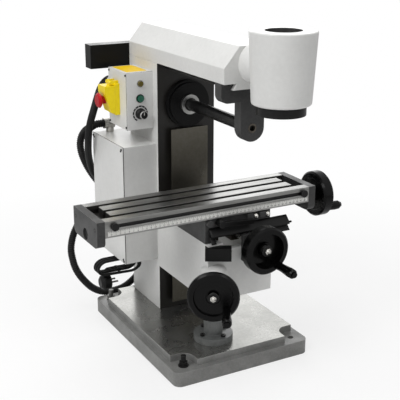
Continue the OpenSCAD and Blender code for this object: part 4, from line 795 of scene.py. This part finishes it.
def finish_of(name, tones, gloss, grain, mottle=(9, 120), metal=0.0, specular=0.5, coat=0.0, scuff_and_highlight=None,
              stretch=None):
    """A material whose tone and roughness both drift between two limits.

    grain is the scale and the strength of its fine bumps, and mottle the scales of its patches and
    specks. The argument for the paler edges gives their colour, their width in mm and their amount; they
    are partly scuffing and partly a painted highlight.
    """
    material = bpy.data.materials.new(name)
    material.use_nodes = True
    tree = material.node_tree
    shader = tree.nodes["Principled BSDF"]
    place = add(tree, "TexCoord").outputs["Object"]
    if stretch:
        place = add(tree, "Mapping", {"Vector": place, "Scale": stretch}).outputs[0]
    colour = toned(tree, place, *tones, *mottle)
    touch = touched(tree, place, *gloss, grain[0])
    # Paler edges: partly scuffing, partly a painted highlight.
    if scuff_and_highlight:
        scuff_and_highlight_inputs = {"Place": place, "Width": scuff_and_highlight[1] * MM, "Amount": scuff_and_highlight[2]}
        scuff_and_highlight_mask = add(tree, "Group", scuff_and_highlight_inputs, node_tree=edge_scuff_and_highlight).outputs["Mask"]
        colour = mix_colours(tree, scuff_and_highlight_mask, colour, screen_colour(scuff_and_highlight[0]))
    bump = add(tree, "Bump", {"Strength": grain[1], "Distance": BUMP_HEIGHT * MM, "Height": touch["Height"]})
    tree.links.new(colour, shader.inputs["Base Color"])
    tree.links.new(touch["Roughness"], shader.inputs["Roughness"])
    tree.links.new(bump.outputs[0], shader.inputs["Normal"])
    shader.inputs["Metallic"].default_value = metal
    shader.inputs["Specular IOR Level"].default_value = specular
    shader.inputs["Coat Weight"].default_value = coat
    return material


white_enamel = finish_of("white enamel", ("d9d9d7", "d0d0ce"), (0.28, 0.42), (420, 0.04), specular=0.4,
                         scuff_and_highlight=("e6e6e4", 1.5, 0.5))
grey_enamel = finish_of("mottled grey enamel", ("868684", "6d6d6b"), (0.28, 0.46), (300, 0.14), (26, 260),
                        scuff_and_highlight=("9d9d9b", 3, 0.6))
pedestal_grey = finish_of("pedestal grey enamel", ("6a6c6b", "525453"), (0.24, 0.4), (300, 0.12), (26, 260),
                          scuff_and_highlight=("8d8d8b", 2, 0.6))
dark_casting = finish_of("dark grey casting", ("3d3d3d", "2e2e2e"), (0.36, 0.55), (320, 0.2), (18, 220),
                         specular=0.3, scuff_and_highlight=("6c6c6b", 2, 0.7))
black_enamel = finish_of("black enamel", ("0d0d0d", "080808"), (0.3, 0.46), (380, 0.06), specular=0.14,
                         scuff_and_highlight=("2a2a2a", 1.6, 0.5))
black_oxide = finish_of("black oxide steel", ("1c1c1c", "101010"), (0.28, 0.42), (900, 0.05), (14, 300),
                        metal=0.3, specular=0.25, scuff_and_highlight=("6e6e6c", 1.2, 0.6))
wheel_black = finish_of("polished wheel plastic", ("060606", "030303"), (0.16, 0.28), (600, 0.02),
                        specular=0.14, scuff_and_highlight=("202020", 1.5, 0.4))
moulded_black = finish_of("moulded black plastic", ("0e0e0e", "080808"), (0.34, 0.5), (1400, 0.1),
                          specular=0.2)
black_rubber = finish_of("black rubber", ("131313", "0b0b0b"), (0.46, 0.64), (1200, 0.12), (22, 240),
                         specular=0.2)
sheet_rubber = finish_of("rubber sheet", ("0f0f0f", "070707"), (0.4, 0.6), (700, 0.16), (30, 260),
                         specular=0.18)
ground_steel = finish_of("ground steel", ("9c9c9a", "6f6f6d"), (0.26, 0.42), (26, 0.05), (2.2, 26),
                         metal=1.0, stretch=(1, 34, 34))
turned_steel = finish_of("turned steel", ("b0b0ae", "8c8c8a"), (0.24, 0.38), (900, 0.04), (12, 160),
                         metal=1.0)
bright_nickel = finish_of("bright nickel", ("cbc9c4", "acaaa5"), (0.14, 0.26), (500, 0.03), (16, 150),
                          metal=1.0)
oiled_iron = finish_of("oiled iron", ("6b655c", "45413b"), (0.3, 0.46), (600, 0.08), (20, 200), metal=0.8)
yellow_plastic = finish_of("yellow plastic", ("f4dc10", "e8cd08"), (0.3, 0.44), (1100, 0.05), specular=0.35)
yellow_plate = finish_of("yellow plate", ("e9c30f", "deb60a"), (0.34, 0.46), (500, 0.04), (14, 200),
                         specular=0.3)
red_plastic = finish_of("red plastic", ("b20717", "9e0411"), (0.24, 0.38), (900, 0.04), specular=0.22)
green_plastic = finish_of("green plastic", ("125f48", "0c533d"), (0.26, 0.4), (900, 0.05), coat=0.1)
printed_black = finish_of("printed black", ("0e0e0e", "080808"), (0.4, 0.5), (900, 0.02), specular=0.2)
printed_white = finish_of("printed white", ("dededa", "cfcfcb"), (0.36, 0.48), (900, 0.02))
seal_rubber = finish_of("seal rubber", ("2b2b2b", "1c1c1c"), (0.5, 0.65), (900, 0.08), specular=0.2)
print(len(bpy.data.materials) - came_with_frame, "finishes mixed")

# %% [markdown]
# ## One casting, two finishes
# Some solids change finish along a line that no edge marks: the column's front is black, its way is
# ground bright, and its sides are white. A second solid would be one way, but the place of a point tells
# the finish just as well, so a mask made of Object coordinates lays one finish over another.

# %% Lay one finish over another where a mask says so
X, Y, Z = 0, 1, 2


def variant(finish, name):
    """A copy of a finish, to be changed in places."""
    material = finish.copy()
    material.name = name
    return material


def object_place(material):
    """The Object coordinates that a finish reads."""
    return next(node for node in material.node_tree.nodes if node.type == "TEX_COORD").outputs["Object"]


def coordinate(material, axis):
    """One of a point's three coordinates."""
    return add(material.node_tree, "SeparateXYZ", {0: object_place(material)}).outputs[axis]


def above(material, axis, low):
    """1 where the coordinate is over low, in mm."""
    return maths(material.node_tree, "GREATER_THAN", coordinate(material, axis), low * MM)


def below(material, axis, high):
    """1 where the coordinate is under high, in mm."""
    return maths(material.node_tree, "LESS_THAN", coordinate(material, axis), high * MM)


def where_both(first, second):
    """1 where two masks of a material are both 1."""
    return maths(first.id_data, "MULTIPLY", first, second)


def between(material, axis, low, high):
    """1 where the coordinate is between low and high, in mm."""
    return where_both(above(material, axis, low), below(material, axis, high))


def within(material, centre, reach):
    """1 closer than reach, in mm, to an axis, whose centre has None for the coordinate along it."""
    tree = material.node_tree
    parts = {axis: coordinate(material, axis) for axis in (X, Y, Z) if centre[axis] is not None}
    point = add(tree, "CombineXYZ", parts).outputs[0]
    middle = [0 if place is None else place * MM for place in centre]
    away = add(tree, "VectorMath", {0: point, 1: middle}, operation="DISTANCE").outputs["Value"]
    return maths(tree, "LESS_THAN", away, reach * MM)


def lay_over(material, mask, tones=None, gloss=None, metal=None):
    """Covers a material's colour, roughness and metal where the mask is 1, and leaves what isn't given."""
    tree, place = material.node_tree, object_place(material)
    shader = tree.nodes["Principled BSDF"]
    layers = {
        "Base Color": tones and toned(tree, place, *tones),
        "Roughness": gloss and touched(tree, place, *gloss)["Roughness"],
        "Metallic": metal,
    }
    for socket, value in layers.items():
        if value is None:
            continue
        links = shader.inputs[socket].links
        under = links[0].from_socket if links else shader.inputs[socket].default_value
        mix = mix_colours if socket == "Base Color" else mix_values
        tree.links.new(mix(tree, mask, under, value), shader.inputs[socket])


print(white_enamel.name, "has", len(white_enamel.node_tree.nodes), "nodes before any zone is laid over it")

# %% [markdown]
# Each zone ends at a plane or a round axis of its solid, a little behind the face that it covers, so
# that the rounded edge still belongs to the face. Tones, roughness and metal of a zone drift too.

# %% Give the castings their zones
COLUMN_FRONT, WAY_FRONT = 53.2, 36.2
HEAD_AXIS, HEAD_BORE_R = (0, -346.5, None), 37.4
BASE_TOP, KNEE_RAILS, ARM_RAIL_TOP, ARM_RAIL_FRONT = 51.4, 311.2, 671.6, -205
SLOTS_Y, SLOTS_Z = (-185, -81), (380, 404.2)
GROOVE_Y, GROOVE_Z = (-197.2, -190), (387, 396.4)
END_FACE_LEFT, END_FACE_RIGHT = -338.2, 203.2
END_SCREWS_Y, END_SCREW_Z = (-186, -80), 386
BACK_BOLT_Y, BOLT_HEAD_Z = 150, 20

column_paint = variant(white_enamel, "column: white sides, black front, ground way")
lay_over(column_paint, below(column_paint, Y, COLUMN_FRONT), ("191713", "0f0d0b"), (0.34, 0.5))
lay_over(column_paint, below(column_paint, Y, WAY_FRONT), ("625f58", "565349", 5), (0.27, 0.36), 0.85)

head_paint = variant(white_enamel, "head: white enamel, bare bore darkened by painted shade")
# The bore is bare metal, and its grey is darkened as painted shade inside the hole.
lay_over(head_paint, within(head_paint, HEAD_AXIS, HEAD_BORE_R), ("4c4c4b", "353534"), (0.34, 0.5), 0.3)

base_paint = variant(grey_enamel, "base: grey enamel, machined top")
lay_over(base_paint, above(base_paint, Z, BASE_TOP), ("989895", "82827f", 5), (0.22, 0.34), 0.88)

table_steel = variant(ground_steel, "table: ground steel, slots darkened by painted shade")
slot_shade = where_both(between(table_steel, Y, *SLOTS_Y), between(table_steel, Z, *SLOTS_Z))
groove_shade = where_both(between(table_steel, Y, *GROOVE_Y), between(table_steel, Z, *GROOVE_Z))
# The T-slots are oily iron darkened further as painted shade, and the groove on the front is near black as
# painted shade.
lay_over(table_steel, slot_shade, ("24221f", "151412"), (0.4, 0.6), 0.2)
lay_over(table_steel, groove_shade, ("0d0d0d", "070707"), (0.5, 0.7), 0.0)

plate_iron = variant(dark_casting, "end plates: dark casting, sunk screws")
outside = maths(plate_iron.node_tree, "MAXIMUM", below(plate_iron, X, END_FACE_LEFT),
                above(plate_iron, X, END_FACE_RIGHT))
# Round each painted screw head a black ring is painted shade in its counterbore.
SCREW_SEAT_SHADE = (4.4, ("0a0a0a", "050505"), (0.5, 0.7), 0.0)
SCREW_HEAD = (2.4, ("54544f", "3c3c3a"), (0.3, 0.5), 0.8)
for y in END_SCREWS_Y:
    for reach, *looks in (SCREW_SEAT_SHADE, SCREW_HEAD):
        spot = within(plate_iron, (None, y, END_SCREW_Z), reach)
        lay_over(plate_iron, where_both(outside, spot), *looks)

knee_paint = variant(white_enamel, "knee: white enamel, bare ways darkened by painted shade")
# The bare ways above the rails' height are darkened as painted shade under the saddle.
lay_over(knee_paint, above(knee_paint, Z, KNEE_RAILS), ("3a3732", "26241f", 40), (0.28, 0.44), 0.6)

bolt_steel = variant(black_oxide, "bolts: black oxide, one greyed")
back_bolt = where_both(above(bolt_steel, Y, BACK_BOLT_Y), above(bolt_steel, Z, BOLT_HEAD_Z))
lay_over(bolt_steel, back_bolt, ("787876", "5f5f5d"), (0.32, 0.48))

arm_paint = variant(white_enamel, "overarm: white enamel, bare dovetail")
# The bare dovetail under the arm is darkened as painted shade, where the arm's underside is in shadow.
shaded_rail = where_both(below(arm_paint, Z, ARM_RAIL_TOP), above(arm_paint, Y, ARM_RAIL_FRONT))
lay_over(arm_paint, shaded_rail, ("2b2926", "181715", 40), (0.34, 0.5), 0.4)
print("zones on the column, head, base, table, end plates, knee, bolts and overarm")

# %% [markdown]
# ## Ruler and dials
# The ruler is a white strip with a tick at every millimetre, and longer ones at every fifth and tenth.
# The dials behind the handwheels carry forty ticks round their rims. Ticks are print, without any depth,
# so they belong in the material: the same group counts along the strip or round the dial.

# %% Print the ticks
INK = ("1d1d1d", "121212")
DIAL_INK = ("1c1c1c", "101010")
DIAL_TICKS, DIAL_TICK_SHARE = 40, 0.16
RULER_TICKS = ((1, 0.28, 380.6), (5, 0.09, 379.4), (10, 0.06, 378.2))


def ticks(material, along, pitch, share):
    """1 on a tick at every pitch along a length or an angle, with this share of the pitch inked."""
    return add(material.node_tree, "Group", {"Along": along, "Pitch": pitch, "Ink": share},
               node_tree=tick_marks).outputs["Mask"]


ruler_finish = variant(printed_white, "ruler strip")
from_zero = maths(ruler_finish.node_tree, "ADD", coordinate(ruler_finish, X), -RULER_ZERO * MM)
for pitch, share, foot in RULER_TICKS:
    marks = ticks(ruler_finish, from_zero, pitch * MM, share)
    lay_over(ruler_finish, where_both(marks, above(ruler_finish, Z, foot)), INK)


def dial_finish(name, centre, axis, low, high, reach):
    """Turned steel with a satin dial between two places along its axis, and ticks round the dial's rim."""
    material = variant(turned_steel, name)
    tree = material.node_tree
    across, rise = (maths(tree, "SUBTRACT", coordinate(material, other), centre[other] * MM)
                    for other in (X, Y, Z) if other != axis)
    angle = maths(tree, "ARCTAN2", rise, across)
    dial = where_both(between(material, axis, low, high), within(material, centre, reach))
    lay_over(material, dial, ("bcbcba", "9c9c9a"), (0.26, 0.4), 0.9)
    marks = ticks(material, angle, 2 * math.pi / DIAL_TICKS, DIAL_TICK_SHARE)
    lay_over(material, where_both(dial, marks), DIAL_INK)
    return material


feed_finish = dial_finish("feed screw and dial", (None, -133, 361.5), X, 213.6, 226.7, 27)
cross_finish = dial_finish("cross screw and dial", (29, None, 300.5), Y, -230.7, -216.6, 27)

# %% [markdown]
# ## Dressing every piece
# What is left is to say which finish is on which piece. Small zones are added where one piece has two
# materials: the lamp's lens in its bezel and the plug's metal pins, and a pale metallic ring round the
# knob's front is partly bright trim and partly a painted highlight.

# %% Put the finishes on
LENS_R, PINS_X, KNOB_FACE_R, KNOB_HIGHLIGHT_RIM_Y = 6.3, -165.8, 8.3, 56.4
lamp_finish = variant(bright_nickel, "lamp: nickel bezel, amber lens")
lay_over(lamp_finish, within(lamp_finish, (PANEL_X, None, LAMP_Z), LENS_R), ("6b602c", "4d441d", 90),
         (0.14, 0.26), 0.0)
plug_finish = variant(moulded_black, "plug: black body, nickel pins")
lay_over(plug_finish, above(plug_finish, X, PINS_X), ("8a8884", "6e6c68"), (0.2, 0.34), 0.9)
# A pale metallic ring round the knob's front: partly bright trim, partly a painted highlight.
knob_finish = variant(moulded_black, "knob: black, painted highlight on its front rim")
off_face = maths(knob_finish.node_tree, "SUBTRACT", 1.0,
                 within(knob_finish, (PANEL_X, None, KNOB_Z), KNOB_FACE_R))
lay_over(knob_finish, where_both(off_face, below(knob_finish, Y, KNOB_HIGHLIGHT_RIM_Y)), ("bdbdbb", "a2a2a0"),
         (0.22, 0.36), 0.9)
dressed = set()


def dress(material, *wearers):
    """Puts a finish on pieces, by object or by the name of the solid that they are or stand for."""
    for wearer in wearers:
        piece = shown[wearer] if isinstance(wearer, str) else wearer
        piece.data.materials.clear()
        piece.data.materials.append(material)
        dressed.add(piece.name)


dress(arm_paint, "overarm")
dress(plate_iron, "table_ends")
dress(knee_paint, "knee")
dress(bolt_steel, "frame_bolts")
dress(base_paint, "base")
dress(table_steel, "table")
dress(column_paint, "column")
dress(head_paint, "head")
dress(ruler_finish, "table_ruler")
dress(feed_finish, "feed_screw")
dress(cross_finish, "cross_screw")
dress(pedestal_grey, "lift_pedestal")
dress(white_enamel, "cabinet", "cabinet_cover", "control_box", "control_panel", "column_back_plate")
dress(dark_casting, "arbor_bracket", "saddle", "cross_bracket", "knee_gib")
dress(black_enamel, "gear_cover", "rear_cover", "spindle_housing", "drive_motor")
dress(black_oxide, "arbor", "spindle_cap", "panel_screws", "table_stops", "saddle_lock",
      back_screws, cover_screws, oil_cup, *hub_washers)
dress(turned_steel, "spindle", "lift_screw", "crank_shaft", "spindle_pulley", "motor_pulley",
      "spindle_bearings", "head_bearings")
dress(wheel_black, "lift_handwheel", "feed_handwheel", "cross_handwheel",
      "lift_grip", "feed_grip", "cross_grip")
dress(bright_nickel, "cable_glands", saddle_nuts, *hub_nuts)
dress(oiled_iron, "bracket_bush", "screw_nuts", "vertical_spindle")
dress(black_rubber, "drive_belt", lead, lead_tie, *boots, *hoses)
dress(sheet_rubber, way_cover, cover_rod)
dress(seal_rubber, door_seal, panel_seal)
dress(plug_finish, "mains_plug")
dress(knob_finish, knob)
dress(moulded_black, button_collar)
dress(printed_black, dial_dashes, ruler_numbers)
dress(printed_white, knob_pointer)
dress(yellow_plate, box_plate)
dress(yellow_plastic, "switch_base", "switch_flap")
dress(red_plastic, "stop_button")
dress(green_plastic, "start_button")
dress(lamp_finish, "indicator_lamp")
undressed = [piece.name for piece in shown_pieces() if piece.name not in dressed]
print(len(dressed), "pieces dressed, without a finish:", undressed)

# %% [markdown]
# ## Floor and light
# The machine stands in a white studio. A large soft lamp at the left front is the key, a weaker one fills
# from the right, one above lifts the tops and one behind parts the back from the floor. The background is
# white to the camera and to reflections, and adds little light of its own, and the pale floor keeps the
# soft shadow.

# %% Light the studio
SOFTBOXES = {
    "key softbox": ((-2.3, -0.7, 2.3), (0, 0, 0.45), 1.6, 42),
    "fill softbox": ((0.4, -2.5, 2.3), (0, 0, 0.5), 1.6, 16),
    "top softbox": ((-0.1, 0.0, 2.7), (0, 0, 0.3), 1.8, 26),
    "back softbox": ((1.2, 2.4, 1.6), (0, 0, 0.4), 1.6, 14),
}
for name, (at, aim, size, power) in SOFTBOXES.items():
    lamp = bpy.data.lights.new(name, "AREA")
    lamp.shape = "SQUARE"
    lamp.size = size
    lamp.energy = power
    stand = put_in_scene(name, lamp)
    stand.location = at
    stand.rotation_euler = (Vector(aim) - Vector(at)).to_track_quat("-Z", "Y").to_euler()

WHITE, ROOM_LIGHT = (1, 1, 1, 1), 0.26
world = bpy.data.worlds.new("studio")
bpy.context.scene.world = world
world.use_nodes = True
tree = world.node_tree
backdrop = tree.nodes["Background"]
rays = add(tree, "LightPath").outputs
seen = maths(tree, "MAXIMUM", rays["Is Camera Ray"], rays["Is Transmission Ray"])
seen = maths(tree, "MAXIMUM", seen, rays["Is Glossy Ray"])
strength = remap(tree, seen, 0.0, 1.0, low=ROOM_LIGHT)
backdrop.inputs["Color"].default_value = WHITE
tree.links.new(strength, backdrop.inputs["Strength"])
print(len(SOFTBOXES), "softboxes, white background")

# %% [markdown]
# The floor is pale paint close to the machine, where its shadow falls, and turns to plain white paper
# for the camera further out, so that it runs into the background without an edge.

# %% Lay the floor
FLOOR_REACH, FADE_FROM, FADE_TO, NEAR_SHARE = 6, 0.45, 1.3, 0.7
bm = bmesh.new()
bmesh.ops.create_grid(bm, x_segments=8, y_segments=8, size=FLOOR_REACH)
floor_mesh = bpy.data.meshes.new("floor")
bm.to_mesh(floor_mesh)
bm.free()
floor = put_in_scene("floor", floor_mesh)
floor_white = finish_of("studio floor", ("fbfbfb", "f8f8f8"), (0.7, 0.8), (60, 0.0), specular=0.1)
tree = floor_white.node_tree
far = add(tree, "VectorMath", {0: object_place(floor_white)}, operation="LENGTH").outputs["Value"]
fade = remap(tree, far, FADE_FROM, FADE_TO, low=NEAR_SHARE)
paper_share = maths(tree, "MULTIPLY", fade, add(tree, "LightPath").outputs["Is Camera Ray"])
paper = add(tree, "Emission", {"Color": WHITE, "Strength": 1.0}).outputs[0]
paint = tree.nodes["Principled BSDF"].outputs[0]
surface = add(tree, "MixShader", {0: paper_share, 1: paint, 2: paper}).outputs[0]
tree.links.new(surface, tree.nodes["Material Output"].inputs["Surface"])
floor_mesh.materials.append(floor_white)
bpy.context.scene.view_settings.view_transform = "Standard"
print("floor", 2 * FLOOR_REACH, "m wide")
